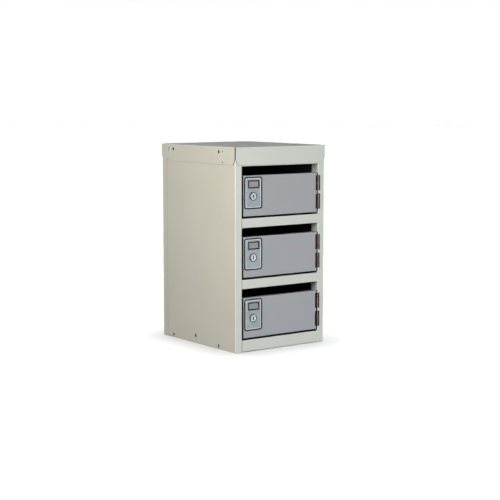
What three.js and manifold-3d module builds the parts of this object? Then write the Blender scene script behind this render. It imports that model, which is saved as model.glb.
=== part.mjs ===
// Small free-standing phone charging locker: a folded steel body with three lockable compartments,
// each with an open slot above its door and a charging socket on the partition at its rear.
//
// Millimetres, +Z up, the doors face -Y, and +X is to the right seen from the front. The origin is
// on the floor, under the middle of the overall box.

import * as THREE from 'three';
import { mergeVertices } from 'three/addons/utils/BufferGeometryUtils.js';
import Module from 'manifold-3d';

const wasm = await Module();
wasm.setup();

// ---- Driving dimensions ----

const OVERALL_HEIGHT = 600;
const BODY_WIDTH = 330;
const BODY_DEPTH = 388;
const SHEET = 1.2; // thickness of every folded steel piece
const FOLD_RADIUS = 2.4; // outer radius of a fold
const GAP = 0.3; // clearance between two pieces that meet
const CUT_MARGIN = 5; // how far a cutting body reaches past the sheet it cuts
const WELD = 1; // how far two solids of one piece run into each other

const COMPARTMENTS = 3;
const BOTTOM_RAIL = 36;
const OPENING_HEIGHT = 150.5;
const MIDDLE_RAIL = 28.5;
const STILE = 24; // width of the frame beside the openings
const STILE_RETURN = 30; // depth of the flange folded back from a stile
const RAIL_RETURN = 12;
const WING_FLANGE = 12; // flange that joins a shelf to a side panel
const BACK_FLANGE = 25; // the back panel wraps this far round each side
const TONGUE_LAP = 15; // the side panel's tongue starts this far ahead of that flange
const JOGGLE = 2; // depth of the step between the side wall and its tongue
const BASE_RETURN = 15;
const VENTS = { x: [-130, -30], lowest: 170, pitch: 14, height: 4, count: 5 };

const CAP_OVERHANG = 2;
const CAP_SKIRT = 51.5;
const CAP_SLIT = 1.4; // open corner between two skirts
const CAP_SIDE_CHAMFER = [10, 16]; // along the skirt, and up it
const CAP_FRONT_CHAMFER = [11, 13];
const CAP_SLOTS_FROM_FRONT = [79, 323];
const CAP_SLOT_DROP = 15; // slot centre below the cap's top

const FIXING_SLOT = [5, 9]; // width and height
const SIDE_SLOTS = [[86, 9], [207, 23], [330, 8.5]]; // from the front, above the floor

const DOOR_HEIGHT = 119;
const DOOR_THICKNESS = 18;
const DOOR_BOTTOM_GAP = 4.2;
const DOOR_LOCK_GAP = 4; // gap beside the door on its lock side
const DOOR_HINGE_GAP = 2.4;
const STOP_TAB = [9, 20]; // length and height of a door stop
const STOP_TABS_UP = [20, 85]; // above the opening's lower edge

const KNUCKLE_RADIUS = 4.75;
const PIN_RADIUS = 2.2;
const PIN_CLEARANCE = 0.15;
const HINGE_HEIGHT = 43;
const END_KNUCKLE = 10.5;
const KNUCKLE_GAP = 0.4;
const LEAF_THICKNESS = 2;
const LEAF_DEPTH = 17;
const HINGE_NOTCH = 6.75; // half width of the notch around the knuckles
const HINGE_END_ROOM = 1.5; // above and below a hinge in its notch
const PIN_HEAD = [0.2, 0.6]; // the pin's rim and its crown past the end knuckle
const HINGES_UP = { lower: 33, upper: 88.5 }; // hinge centres above the door's lower edge

const LOCK_FROM_DOOR_EDGE = 34.4;
const LOCK_UP = 58.5; // above the door's lower edge
const LOCK_PROUD = 5; // face of the lock in front of the door
const PLATE = [57, 87.5, 2]; // lock plate width, height and thickness
const PLATE_FROM_DOOR_EDGE = 6.6;
const PLATE_DROP = 6.5; // below the door's top
const PLATE_CORNER = 5;
const WINDOW_CORNER = 1.5; // of the plate's window around the bezel
const LABEL = [40, 23]; // bezel width and height
const LABEL_DROP = 7.3; // below the plate's top
const LABEL_RIM = 3;
const LABEL_FROM_PLATE_EDGE = 10.3;
const LABEL_PROUD = 0.5; // bezel in front of the plate
const LABEL_CORNERS = { rim: 1.2, inner: 0.8, card: 0.6 };
const CARD_THICKNESS = 0.6;
const LOCK_FLANGE_RADIUS = 12;
const LOCK_FLANGE_CHAMFER = 1;
const LOCK_BARREL_RADIUS = 9;
const LOCK_PLUG_RADIUS = 6.5;
const LOCK_HOLE_CLEARANCE = 1; // the lock flange covers it
const LOCK_NUT = [24, 5]; // width across flats, thickness
const CAM = { width: 12, reach: 46, heel: 8, corner: 4, thickness: 2, fromFront: 31.5 };
const TAIL = [6, 3]; // the plug's square tail: its side, and its length past the cam
const TAIL_PLAY = 0.6;
const KEYWAY = [2.4, 8.5, 14]; // width, height, depth

const PARTITION_FROM_BACK = 46;
const SOCKET_PLATE = [64, 40, 3];
const SOCKET_BODY = [50, 26, 21];
const SOCKET_CORNER = 5;
const BODY_CUT_PLAY = 1; // a cut-out is this much larger than the body in it
const SOCKET_X = 60;
const SOCKET_UP = 75; // above the compartment's floor
const USB_PORT = [13, 5.4, 12];
const USB_PORT_SPACING = 22;
const SUPPLY = { x: [-140, -20], z: [50, 130], depth: 34, corner: 4 };
const SUPPLY_EAR = { reach: 12, inset: 20, thickness: 3, corner: 3 };
const INLET = {
  x: 110,
  z: 62,
  flange: [31, 25, 1.6],
  corner: 3,
  body: [27, 20, 24],
  pocket: [24.4, 16.4, 17],
};
const INLET_BLADE = { width: 2, height: 4, spacing: 7, stagger: 2.5, recess: 5 };
const CHARGE_LEAD = { radius: 2, spacing: 45, bend: 18, step: 12 };
const INLET_LEAD = { radius: 3.2, fromBack: 12, rise: 12, steps: 14 };

// ---- Places worked out from them ----

const HALF_WIDTH = BODY_WIDTH / 2;
const FRONT = (LOCK_PROUD - BODY_DEPTH - CAP_OVERHANG) / 2;
const BACK = FRONT + BODY_DEPTH;
const OPENING_X = HALF_WIDTH - STILE;
const INNER_X = HALF_WIDTH - SHEET - GAP;
const CAP_BOTTOM = OVERALL_HEIGHT - CAP_SKIRT;
const CARCASS_TOP = OVERALL_HEIGHT - SHEET - GAP;
const PARTITION_FRONT = BACK - PARTITION_FROM_BACK;
const PARTITION_BACK = PARTITION_FRONT + SHEET;
const BACK_INNER = BACK - SHEET;
const DOOR_LEFT = -OPENING_X + DOOR_LOCK_GAP;
const DOOR_RIGHT = OPENING_X - DOOR_HINGE_GAP;
const HINGE_X = OPENING_X - DOOR_HINGE_GAP / 2;
const LOCK_X = DOOR_LEFT + LOCK_FROM_DOOR_EDGE;
const DOOR_BOTTOM = DOOR_BOTTOM_GAP; // in a compartment's own frame
const DOOR_TOP = DOOR_BOTTOM + DOOR_HEIGHT;
const LOCK_Z = DOOR_BOTTOM + LOCK_UP;
const PLATE_LEFT = DOOR_LEFT + PLATE_FROM_DOOR_EDGE;
const PLATE_TOP = DOOR_TOP - PLATE_DROP;
const PLATE_FRONT = FRONT - GAP - PLATE[2];
const LABEL_X = PLATE_LEFT + LABEL_FROM_PLATE_EDGE + LABEL[0] / 2;
const LABEL_Z = PLATE_TOP - LABEL_DROP - LABEL[1] / 2;
const SUPPLY_FRONT = BACK_INNER - GAP - SUPPLY.depth;

// Height of an opening's lower edge. Compartment 1 is the top one.
function openingBottom(number) {
  return BOTTOM_RAIL + (COMPARTMENTS - number) * (OPENING_HEIGHT + MIDDLE_RAIL);
}

// ---- Materials ----

function finish(color, roughness, metalness) {
  return () => new THREE.MeshStandardMaterial({ color, roughness, metalness });
}

const BODY_PAINT = finish(0xcac8bb, 0.55, 0.1);
const DOOR_PAINT = finish(0xa2a3a8, 0.55, 0.1);
const DARK_LINING = finish(0x1a1b1d, 0.7, 0.1);
const ZINC = finish(0x8d8787, 0.4, 0.9);
const HINGE_STEEL = finish(0x342a2c, 0.4, 0.9);
const SATIN_STEEL = finish(0x9aa6a8, 0.35, 0.9);
const CHROME = finish(0xd8dadc, 0.15, 1);
const BLACK_PLASTIC = finish(0x17171a, 0.5, 0);
const CARD = finish(0xb5aeb0, 0.9, 0);
const CABLE_JACKET = finish(0x202022, 0.6, 0);

// ---- Solids ----

function solidFrom(geometry) {
  const bare = new THREE.BufferGeometry();
  bare.setAttribute('position', geometry.getAttribute('position'));
  bare.setIndex(geometry.getIndex());
  const merged = mergeVertices(bare, 1e-4);
  const vertProperties = new Float32Array(merged.getAttribute('position').array);
  const triVerts = new Uint32Array(merged.getIndex().array);
  return new wasm.Manifold(new wasm.Mesh({ numProp: 3, vertProperties, triVerts }));
}

function geometryFrom(solid) {
  const mesh = solid.getMesh();
  const geometry = new THREE.BufferGeometry();
  geometry.setAttribute('position', new THREE.BufferAttribute(mesh.vertProperties, 3));
  geometry.setIndex(new THREE.BufferAttribute(mesh.triVerts, 1));
  geometry.computeVertexNormals();
  return geometry;
}

function joined(...solids) {
  return solids.reduce((whole, solid) => whole.add(solid));
}

function block(x, y, z) {
  const geometry = new THREE.BoxGeometry(x[1] - x[0], y[1] - y[0], z[1] - z[0]);
  geometry.translate((x[0] + x[1]) / 2, (y[0] + y[1]) / 2, (z[0] + z[1]) / 2);
  return solidFrom(geometry);
}

// The range of the given length around a middle.
function around(middle, length) {
  return [middle - length / 2, middle + length / 2];
}

const UNIT_X = new THREE.Vector3(1, 0, 0);
const UNIT_Y = new THREE.Vector3(0, 1, 0);
const UNIT_Z = new THREE.Vector3(0, 0, 1);

function extruded(shape, length, basis, place, curveSegments) {
  const geometry = new THREE.ExtrudeGeometry(shape, { depth: length, bevelEnabled: false, curveSegments });
  geometry.applyMatrix4(basis);
  geometry.translate(place.x, place.y, place.z);
  return solidFrom(geometry);
}

// The shape is drawn as (y, z).
function alongX(shape, x, curveSegments = 3) {
  const basis = new THREE.Matrix4().makeBasis(UNIT_Y, UNIT_Z, UNIT_X);
  return extruded(shape, x[1] - x[0], basis, new THREE.Vector3(x[0], 0, 0), curveSegments);
}

// The shape is drawn as (x, z).
function alongY(shape, y, curveSegments = 3) {
  const basis = new THREE.Matrix4().makeBasis(UNIT_X, UNIT_Z, UNIT_Y.clone().negate());
  return extruded(shape, y[1] - y[0], basis, new THREE.Vector3(0, y[1], 0), curveSegments);
}

// The shape is drawn as (x, y).
function alongZ(shape, z, curveSegments = 3) {
  const basis = new THREE.Matrix4().makeBasis(UNIT_X, UNIT_Y, UNIT_Z);
  return extruded(shape, z[1] - z[0], basis, new THREE.Vector3(0, 0, z[0]), curveSegments);
}

// A solid of revolution around a line along Y. The profile is a list of [radius, y].
function turnedAlongY(profile, x, z, segments) {
  const geometry = new THREE.LatheGeometry(profile.map((point) => new THREE.Vector2(...point)), segments);
  geometry.translate(x, 0, z);
  return solidFrom(geometry);
}

function rounded(x, y, radius) {
  const shape = new THREE.Shape();
  shape.moveTo(x[0] + radius, y[0]);
  shape.absarc(x[1] - radius, y[0] + radius, radius, -Math.PI / 2, 0);
  shape.absarc(x[1] - radius, y[1] - radius, radius, 0, Math.PI / 2);
  shape.absarc(x[0] + radius, y[1] - radius, radius, Math.PI / 2, Math.PI);
  shape.absarc(x[0] + radius, y[0] + radius, radius, Math.PI, Math.PI * 1.5);
  return shape;
}

// A slot whose short ends are half circles, apart from a hair's breadth that keeps its outline simple.
function roundEnded(x, y) {
  return rounded(x, y, Math.min(x[1] - x[0], y[1] - y[0]) / 2 - 0.01);
}

function disc(x, y, radius) {
  return new THREE.Shape().absarc(x, y, radius, 0, Math.PI * 2);
}

function polygon(points) {
  return new THREE.Shape(points.map((point) => new THREE.Vector2(...point)));
}

// ---- Folded sheet ----

const FOLD_STEPS = 2;

function toRightOf(direction) {
  return new THREE.Vector2(direction.y, -direction.x);
}

// The line through square corners that all turn left, with each fold drawn as an arc. An inset of
// 0 gives the sheet's outer skin, and SHEET gives the inner skin.
function foldedSkin(corners, inset) {
  const directions = corners.slice(1).map((corner, i) => corner.clone().sub(corners[i]).normalize());
  const skin = [corners[0].clone().addScaledVector(toRightOf(directions[0]), -inset)];
  for (let i = 1; i < corners.length - 1; i += 1) {
    const centre = corners[i].clone()
      .addScaledVector(directions[i - 1], -FOLD_RADIUS)
      .addScaledVector(directions[i], FOLD_RADIUS);
    const arm = toRightOf(directions[i - 1]).multiplyScalar(FOLD_RADIUS - inset);
    for (let step = 0; step <= FOLD_STEPS; step += 1) {
      const turn = (Math.PI / 2) * (step / FOLD_STEPS);
      skin.push(arm.clone().rotateAround(new THREE.Vector2(), turn).add(centre));
    }
  }
  skin.push(corners.at(-1).clone().addScaledVector(toRightOf(directions.at(-1)), -inset));
  return skin;
}

// Section of a sheet folded along a line of outer corners.
function foldedSheet(points) {
  const corners = points.map((point) => new THREE.Vector2(...point));
  return new THREE.Shape([...foldedSkin(corners, 0), ...foldedSkin(corners, SHEET).reverse()]);
}

// ---- Carcass ----

// Fixing slots through one side wall. Each place is [distance from the front, height].
function fixingSlots(side, places) {
  const x = around(side * HALF_WIDTH, 2 * CUT_MARGIN);
  const slots = places.map(([fromFront, up]) => {
    const y = around(FRONT + fromFront, FIXING_SLOT[0]);
    return alongX(roundEnded(y, around(up, FIXING_SLOT[1])), x, 2);
  });
  return joined(...slots);
}

function capSlots(side) {
  const up = OVERALL_HEIGHT - CAP_SLOT_DROP;
  return fixingSlots(side, CAP_SLOTS_FROM_FRONT.map((fromFront) => [fromFront, up]));
}

// Side wall, front stile and stile return in one sheet, with a tongue under the back panel's flange.
function sidePanel(side) {
  const outline = [
    [OPENING_X, FRONT + STILE_RETURN],
    [OPENING_X, FRONT],
    [HALF_WIDTH, FRONT],
    [HALF_WIDTH, BACK - BACK_FLANGE - GAP],
  ];
  const corners = side > 0 ? outline : outline.map(([x, y]) => [-x, y]).reverse();
  const wall = alongZ(foldedSheet(corners), [0, CARCASS_TOP]);
  const tongueX = [HALF_WIDTH - 2 * SHEET - GAP, HALF_WIDTH - SHEET - GAP];
  const tongueFront = BACK - BACK_FLANGE - TONGUE_LAP;
  const tongueY = [tongueFront, BACK - FOLD_RADIUS - GAP];
  const joggleX = [tongueX[0], HALF_WIDTH - SHEET / 2];
  const joggleY = [tongueFront, tongueFront + JOGGLE];
  const mirrored = (x) => (side > 0 ? x : [-x[1], -x[0]]);
  const tongue = block(mirrored(tongueX), tongueY, [0, CARCASS_TOP]);
  const joggle = block(mirrored(joggleX), joggleY, [0, CARCASS_TOP]);
  return joined(wall, tongue, joggle).subtract(fixingSlots(side, SIDE_SLOTS)).subtract(capSlots(side));
}

// Tabs that the door's folded edge closes against.
function stopTabs() {
  const tabs = [];
  for (let number = 1; number <= COMPARTMENTS; number += 1) {
    for (const up of STOP_TABS_UP) {
      const x = [-OPENING_X - SHEET / 2, -OPENING_X + STOP_TAB[0]];
      const front = FRONT + DOOR_THICKNESS + 2 * GAP;
      const y = [front, front + SHEET];
      const bottom = openingBottom(number) + up;
      tabs.push(block(x, y, [bottom, bottom + STOP_TAB[1]]));
    }
  }
  return joined(...tabs);
}

// Room for the knuckles of both hinges of a door that stands at the given height.
function hingeNotches(x, doorBottom) {
  const y = [FRONT - CUT_MARGIN, FRONT + HINGE_NOTCH];
  const height = HINGE_HEIGHT + 2 * HINGE_END_ROOM;
  return joined(...Object.values(HINGES_UP).map((up) => block(x, y, around(doorBottom + up, height))));
}

function leftSidePanel() {
  return sidePanel(-1).add(stopTabs());
}

function rightSidePanel() {
  const x = [OPENING_X - CUT_MARGIN, HINGE_X + HINGE_NOTCH];
  let panel = sidePanel(1);
  for (let number = 1; number <= COMPARTMENTS; number += 1) {
    panel = panel.subtract(hingeNotches(x, openingBottom(number) + DOOR_BOTTOM));
  }
  return panel;
}

// Rear wall with a flange wrapped round each side, a socket cut-out and ventilation slots.
function backPanel() {
  const outline = [
    [HALF_WIDTH, BACK - BACK_FLANGE],
    [HALF_WIDTH, BACK],
    [-HALF_WIDTH, BACK],
    [-HALF_WIDTH, BACK - BACK_FLANGE],
  ];
  const wall = alongZ(foldedSheet(outline), [0, CARCASS_TOP]);
  const cutY = around(BACK, 2 * CUT_MARGIN);
  const inletX = around(INLET.x, INLET.body[0] + BODY_CUT_PLAY);
  const inletCut = block(inletX, cutY, around(INLET.z, INLET.body[1] + BODY_CUT_PLAY));
  const vents = [];
  for (let row = 0; row < VENTS.count; row += 1) {
    const z = around(VENTS.lowest + row * VENTS.pitch, VENTS.height);
    vents.push(alongY(roundEnded(VENTS.x, z), cutY, 2));
  }
  return wall.subtract(joined(inletCut, ...vents));
}

// Floor on a folded plinth. The front lip is the rail below the lowest opening.
function baseTray() {
  const rear = BACK_INNER - GAP;
  const profile = [
    [rear - BASE_RETURN, 0],
    [rear, 0],
    [rear, BOTTOM_RAIL],
    [FRONT, BOTTOM_RAIL],
    [FRONT, 0],
    [FRONT + BASE_RETURN, 0],
  ];
  const tray = alongX(foldedSheet(profile), [-OPENING_X + GAP, OPENING_X - GAP]);
  return joined(tray, ...wings(BOTTOM_RAIL, rear));
}

// The parts of a floor that reach the side panels behind the stiles, with their folded-down flanges.
function wings(top, rear) {
  const y = [FRONT + STILE_RETURN + 2 * GAP, rear];
  const outer = HALF_WIDTH - 2 * SHEET - 2 * GAP;
  const inner = OPENING_X - 2 * WELD;
  const right = [
    [outer, top - WING_FLANGE],
    [outer, top],
    [inner, top],
  ];
  const left = right.map(([x, z]) => [-x, z]).reverse();
  return [alongY(foldedSheet(right), y), alongY(foldedSheet(left), y)];
}

// Shelf whose front lip is the rail between two openings.
function shelf(top) {
  const rear = PARTITION_FRONT - GAP;
  const profile = [
    [rear, top],
    [FRONT, top],
    [FRONT, top - MIDDLE_RAIL],
    [FRONT + RAIL_RETURN, top - MIDDLE_RAIL],
  ];
  const middle = alongX(foldedSheet(profile), [-OPENING_X + GAP, OPENING_X - GAP]);
  return joined(middle, ...wings(top, rear));
}

function headerRail() {
  const bottom = openingBottom(1) + OPENING_HEIGHT;
  const profile = [
    [FRONT + RAIL_RETURN, CARCASS_TOP],
    [FRONT, CARCASS_TOP],
    [FRONT, bottom],
    [FRONT + RAIL_RETURN, bottom],
  ];
  return alongX(foldedSheet(profile), [-OPENING_X + GAP, OPENING_X - GAP]);
}

// Slanted cuts off the two lower corners of a skirt that runs between two stations.
function skirtCorners([low, high], [run, rise]) {
  const corner = (end, inward) => polygon([
    [end + inward * run, CAP_BOTTOM],
    [end, CAP_BOTTOM + rise],
    [end - inward * CUT_MARGIN, CAP_BOTTOM + rise],
    [end - inward * CUT_MARGIN, CAP_BOTTOM - CUT_MARGIN],
    [end + inward * run, CAP_BOTTOM - CUT_MARGIN],
  ]);
  return [corner(low, 1), corner(high, -1)];
}

// Lid with four folded skirts that don't meet at the corners.
function topCap() {
  const side = HALF_WIDTH + CAP_OVERHANG;
  const front = FRONT - CAP_OVERHANG;
  const rear = BACK + CAP_OVERHANG;
  const frontSpan = [-side + CAP_SLIT, side - CAP_SLIT];
  const sideSpan = [front + CAP_SLIT, rear - CAP_SLIT];
  const top = OVERALL_HEIGHT;
  const frontToBack = [[rear, CAP_BOTTOM], [rear, top], [front, top], [front, CAP_BOTTOM]];
  const sideToSide = [[side, CAP_BOTTOM], [side, top], [-side, top], [-side, CAP_BOTTOM]];
  const cutY = [front - CUT_MARGIN, rear + CUT_MARGIN];
  const cutX = [-side - CUT_MARGIN, side + CUT_MARGIN];
  const frontCuts = skirtCorners(frontSpan, CAP_FRONT_CHAMFER).map((cut) => alongY(cut, cutY));
  const sideCuts = skirtCorners(sideSpan, CAP_SIDE_CHAMFER).map((cut) => alongX(cut, cutX));
  const frontSkirts = alongX(foldedSheet(frontToBack), frontSpan).subtract(joined(...frontCuts));
  const sideSkirts = alongY(foldedSheet(sideToSide), sideSpan).subtract(joined(...sideCuts));
  return joined(frontSkirts, sideSkirts).subtract(capSlots(-1)).subtract(capSlots(1));
}

// ---- Charging equipment behind the compartments ----

// False back of the compartments, with a cut-out for each socket.
function rearPartition() {
  const half = INNER_X - SHEET - GAP;
  const sheet = block([-half, half], [PARTITION_FRONT, PARTITION_BACK], [BOTTOM_RAIL + GAP, CARCASS_TOP]);
  const cutX = around(SOCKET_X, SOCKET_BODY[0] + BODY_CUT_PLAY);
  const cutY = [PARTITION_FRONT - CUT_MARGIN, PARTITION_BACK + CUT_MARGIN];
  const cuts = [];
  for (let number = 1; number <= COMPARTMENTS; number += 1) {
    const z = around(openingBottom(number) + SOCKET_UP, SOCKET_BODY[1] + BODY_CUT_PLAY);
    cuts.push(block(cutX, cutY, z));
  }
  return sheet.subtract(joined(...cuts));
}

// Outlet with two USB ports, drawn in its compartment's frame.
function chargeSocket() {
  const face = PARTITION_FRONT - GAP - SOCKET_PLATE[2];
  const seat = PARTITION_FRONT - GAP;
  const plateX = around(SOCKET_X, SOCKET_PLATE[0]);
  const plate = rounded(plateX, around(SOCKET_UP, SOCKET_PLATE[1]), SOCKET_CORNER);
  const bodyY = [seat - WELD, seat + SOCKET_BODY[2]];
  const body = block(around(SOCKET_X, SOCKET_BODY[0]), bodyY, around(SOCKET_UP, SOCKET_BODY[1]));
  const ports = [-0.5, 0.5].map((offset) => block(
    around(SOCKET_X + offset * USB_PORT_SPACING, USB_PORT[0]),
    [face - CUT_MARGIN, face + USB_PORT[2]],
    around(SOCKET_UP, USB_PORT[1]),
  ));
  return alongY(plate, [face, seat]).add(body).subtract(joined(...ports));
}

// Sealed supply standing on two ears against the back panel.
function powerSupply() {
  const rear = BACK_INNER - GAP;
  const housing = alongY(rounded(SUPPLY.x, SUPPLY.z, SUPPLY.corner), [SUPPLY_FRONT, rear]);
  const earX = [SUPPLY.x[0] - SUPPLY_EAR.reach, SUPPLY.x[1] + SUPPLY_EAR.reach];
  const earZ = [SUPPLY.z[0] + SUPPLY_EAR.inset, SUPPLY.z[1] - SUPPLY_EAR.inset];
  const ears = alongY(rounded(earX, earZ, SUPPLY_EAR.corner), [rear - SUPPLY_EAR.thickness, rear]);
  return housing.add(ears);
}

// Recessed mains socket, snapped into the back panel and open to the rear.
function mainsInlet() {
  const seat = BACK + GAP;
  const face = seat + INLET.flange[2];
  const flangeZ = around(INLET.z, INLET.flange[1]);
  const flange = rounded(around(INLET.x, INLET.flange[0]), flangeZ, INLET.corner);
  const bodyY = [seat - INLET.body[2], seat + WELD];
  const body = block(around(INLET.x, INLET.body[0]), bodyY, around(INLET.z, INLET.body[1]));
  const floor = face - INLET.pocket[2];
  const pocketY = [floor, face + CUT_MARGIN];
  const pocket = block(around(INLET.x, INLET.pocket[0]), pocketY, around(INLET.z, INLET.pocket[1]));
  const blades = [-1, 0, 1].map((place) => block(
    around(INLET.x + place * INLET_BLADE.spacing, INLET_BLADE.width),
    [floor - WELD, face - INLET_BLADE.recess],
    around(INLET.z + (place === 0 ? -1 : 1) * INLET_BLADE.stagger, INLET_BLADE.height),
  ));
  return alongY(flange, [seat, face]).add(body).subtract(pocket).add(joined(...blades));
}

function lead(path, radius, steps) {
  const geometry = new THREE.ExtrudeGeometry(disc(0, 0, radius), {
    steps,
    extrudePath: path,
    curveSegments: 4,
  });
  return solidFrom(geometry);
}

// Lead from the supply to one compartment's socket. The two upper ones leave the supply's top, and
// the lowest one leaves its side.
function chargeLead(number) {
  const y = (SUPPLY_FRONT + PARTITION_FRONT - GAP + SOCKET_BODY[2]) / 2;
  const end = new THREE.Vector3(SOCKET_X - SOCKET_BODY[0] / 2 - GAP, y, openingBottom(number) + SOCKET_UP);
  const path = new THREE.CurvePath();
  if (number === COMPARTMENTS) {
    path.add(new THREE.LineCurve3(new THREE.Vector3(SUPPLY.x[1] + GAP, y, end.z), end));
    return lead(path, CHARGE_LEAD.radius, Math.round(path.getLength() / CHARGE_LEAD.step));
  }
  const start = new THREE.Vector3(SUPPLY.x[0] + CHARGE_LEAD.spacing * number, y, SUPPLY.z[1] + GAP);
  const corner = new THREE.Vector3(start.x, y, end.z);
  const bendStart = corner.clone().setZ(end.z - CHARGE_LEAD.bend);
  const bendEnd = corner.clone().setX(start.x + CHARGE_LEAD.bend);
  path.add(new THREE.LineCurve3(start, bendStart));
  path.add(new THREE.QuadraticBezierCurve3(bendStart, corner, bendEnd));
  path.add(new THREE.LineCurve3(bendEnd, end));
  return lead(path, CHARGE_LEAD.radius, Math.round(path.getLength() / CHARGE_LEAD.step));
}

// Lead from the supply down to the mains inlet.
function inletLead() {
  const y = BACK - INLET_LEAD.fromBack;
  const start = new THREE.Vector3(SUPPLY.x[1] + GAP, y, INLET.z + INLET_LEAD.rise);
  const end = new THREE.Vector3(INLET.x - INLET.body[0] / 2 - GAP, y, INLET.z);
  const middle = (start.x + end.x) / 2;
  const path = new THREE.CubicBezierCurve3(start, start.clone().setX(middle), end.clone().setX(middle), end);
  return lead(path, INLET_LEAD.radius, INLET_LEAD.steps);
}

// ---- Hinges, drawn in a compartment's frame at their own height ----

function knuckle(z) {
  const ring = disc(HINGE_X, FRONT, KNUCKLE_RADIUS);
  ring.holes.push(new THREE.Path().absarc(HINGE_X, FRONT, PIN_RADIUS + PIN_CLEARANCE, 0, Math.PI * 2));
  return alongZ(ring, z, 6);
}

// One leaf's plate with the tabs that join it to its knuckles.
function hingeLeaf(x, spans) {
  const plateY = [FRONT + KNUCKLE_RADIUS + 2 * GAP, FRONT + LEAF_DEPTH];
  const tabY = [FRONT + PIN_RADIUS, plateY[0] + WELD];
  const parts = [block(x, plateY, [-HINGE_HEIGHT / 2, HINGE_HEIGHT / 2])];
  for (const span of spans) {
    parts.push(knuckle(span), block(x, tabY, span));
  }
  return joined(...parts);
}

function frameHingeLeaf() {
  const inner = OPENING_X + SHEET + GAP;
  const x = [inner, inner + LEAF_THICKNESS];
  const half = HINGE_HEIGHT / 2;
  return hingeLeaf(x, [[-half, -half + END_KNUCKLE], [half - END_KNUCKLE, half]]);
}

function doorHingeLeaf() {
  const outer = DOOR_RIGHT - SHEET - GAP;
  const x = [outer - LEAF_THICKNESS, outer];
  const half = HINGE_HEIGHT / 2 - END_KNUCKLE - KNUCKLE_GAP;
  return hingeLeaf(x, [[-half, half]]);
}

function hingePin() {
  const rim = HINGE_HEIGHT / 2 + PIN_HEAD[0];
  const crown = HINGE_HEIGHT / 2 + PIN_HEAD[1];
  const profile = [[0, -crown], [PIN_RADIUS, -rim], [PIN_RADIUS, rim], [0, crown]];
  const geometry = new THREE.LatheGeometry(profile.map((point) => new THREE.Vector2(...point)), 12);
  geometry.rotateX(Math.PI / 2);
  geometry.translate(HINGE_X, FRONT, 0);
  return solidFrom(geometry);
}

// ---- Door and lock, drawn in a compartment's frame ----

function lockHoleOutline() {
  return disc(LOCK_X, LOCK_Z, LOCK_BARREL_RADIUS + LOCK_HOLE_CLEARANCE);
}

// Pan folded from one sheet, with relieved corners, a lock hole and a notch around each hinge.
function doorPan() {
  const rear = FRONT + DOOR_THICKNESS;
  const upright = [[DOOR_LEFT, rear], [DOOR_LEFT, FRONT], [DOOR_RIGHT, FRONT], [DOOR_RIGHT, rear]];
  const level = [[rear, DOOR_TOP], [FRONT, DOOR_TOP], [FRONT, DOOR_BOTTOM], [rear, DOOR_BOTTOM]];
  const sides = alongZ(foldedSheet(upright), [DOOR_BOTTOM + FOLD_RADIUS, DOOR_TOP - FOLD_RADIUS]);
  const ends = alongX(foldedSheet(level), [DOOR_LEFT + FOLD_RADIUS, DOOR_RIGHT - FOLD_RADIUS]);
  const lockHole = alongY(lockHoleOutline(), around(FRONT, 2 * CUT_MARGIN), 6);
  const notches = hingeNotches([HINGE_X - HINGE_NOTCH, DOOR_RIGHT + CUT_MARGIN], DOOR_BOTTOM);
  return joined(sides, ends).subtract(lockHole).subtract(notches);
}

function lockPlate() {
  const plate = rounded([PLATE_LEFT, PLATE_LEFT + PLATE[0]], [PLATE_TOP - PLATE[1], PLATE_TOP], PLATE_CORNER);
  const windowX = around(LABEL_X, LABEL[0] + 2 * GAP);
  const window = rounded(windowX, around(LABEL_Z, LABEL[1] + 2 * GAP), WINDOW_CORNER);
  plate.holes.push(window, lockHoleOutline());
  return alongY(plate, [PLATE_FRONT, FRONT - GAP], 6);
}

function labelBezel() {
  const rim = rounded(around(LABEL_X, LABEL[0]), around(LABEL_Z, LABEL[1]), LABEL_CORNERS.rim);
  const innerX = around(LABEL_X, LABEL[0] - 2 * LABEL_RIM);
  rim.holes.push(rounded(innerX, around(LABEL_Z, LABEL[1] - 2 * LABEL_RIM), LABEL_CORNERS.inner));
  return alongY(rim, [PLATE_FRONT - LABEL_PROUD, FRONT - GAP], 3);
}

function labelCard() {
  const margin = 2 * (LABEL_RIM + GAP);
  const cardZ = around(LABEL_Z, LABEL[1] - margin);
  const card = rounded(around(LABEL_X, LABEL[0] - margin), cardZ, LABEL_CORNERS.card);
  return alongY(card, [FRONT - GAP - CARD_THICKNESS, FRONT - GAP], 2);
}

// Threaded lock barrel with a round face flange, bored for the plug.
function lockHousing() {
  const face = FRONT - LOCK_PROUD;
  const seat = PLATE_FRONT - GAP;
  const rear = FRONT + CAM.fromFront - 2 * GAP;
  const bore = LOCK_PLUG_RADIUS + GAP;
  const profile = [
    [bore, face],
    [LOCK_FLANGE_RADIUS - LOCK_FLANGE_CHAMFER, face],
    [LOCK_FLANGE_RADIUS, face + LOCK_FLANGE_CHAMFER],
    [LOCK_FLANGE_RADIUS, seat],
    [LOCK_BARREL_RADIUS, seat],
    [LOCK_BARREL_RADIUS, rear],
    [bore, rear],
    [bore, face],
  ];
  return turnedAlongY(profile, LOCK_X, LOCK_Z, 16);
}

function lockNut() {
  const cornerRadius = LOCK_NUT[0] / Math.sqrt(3);
  const corners = Array.from({ length: 6 }, (_, i) => {
    const angle = (i * Math.PI) / 3;
    return [LOCK_X + cornerRadius * Math.cos(angle), LOCK_Z + cornerRadius * Math.sin(angle)];
  });
  const nut = polygon(corners);
  nut.holes.push(disc(LOCK_X, LOCK_Z, LOCK_BARREL_RADIUS + GAP));
  const seat = FRONT + SHEET + GAP;
  return alongY(nut, [seat, seat + LOCK_NUT[1]], 8);
}

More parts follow.
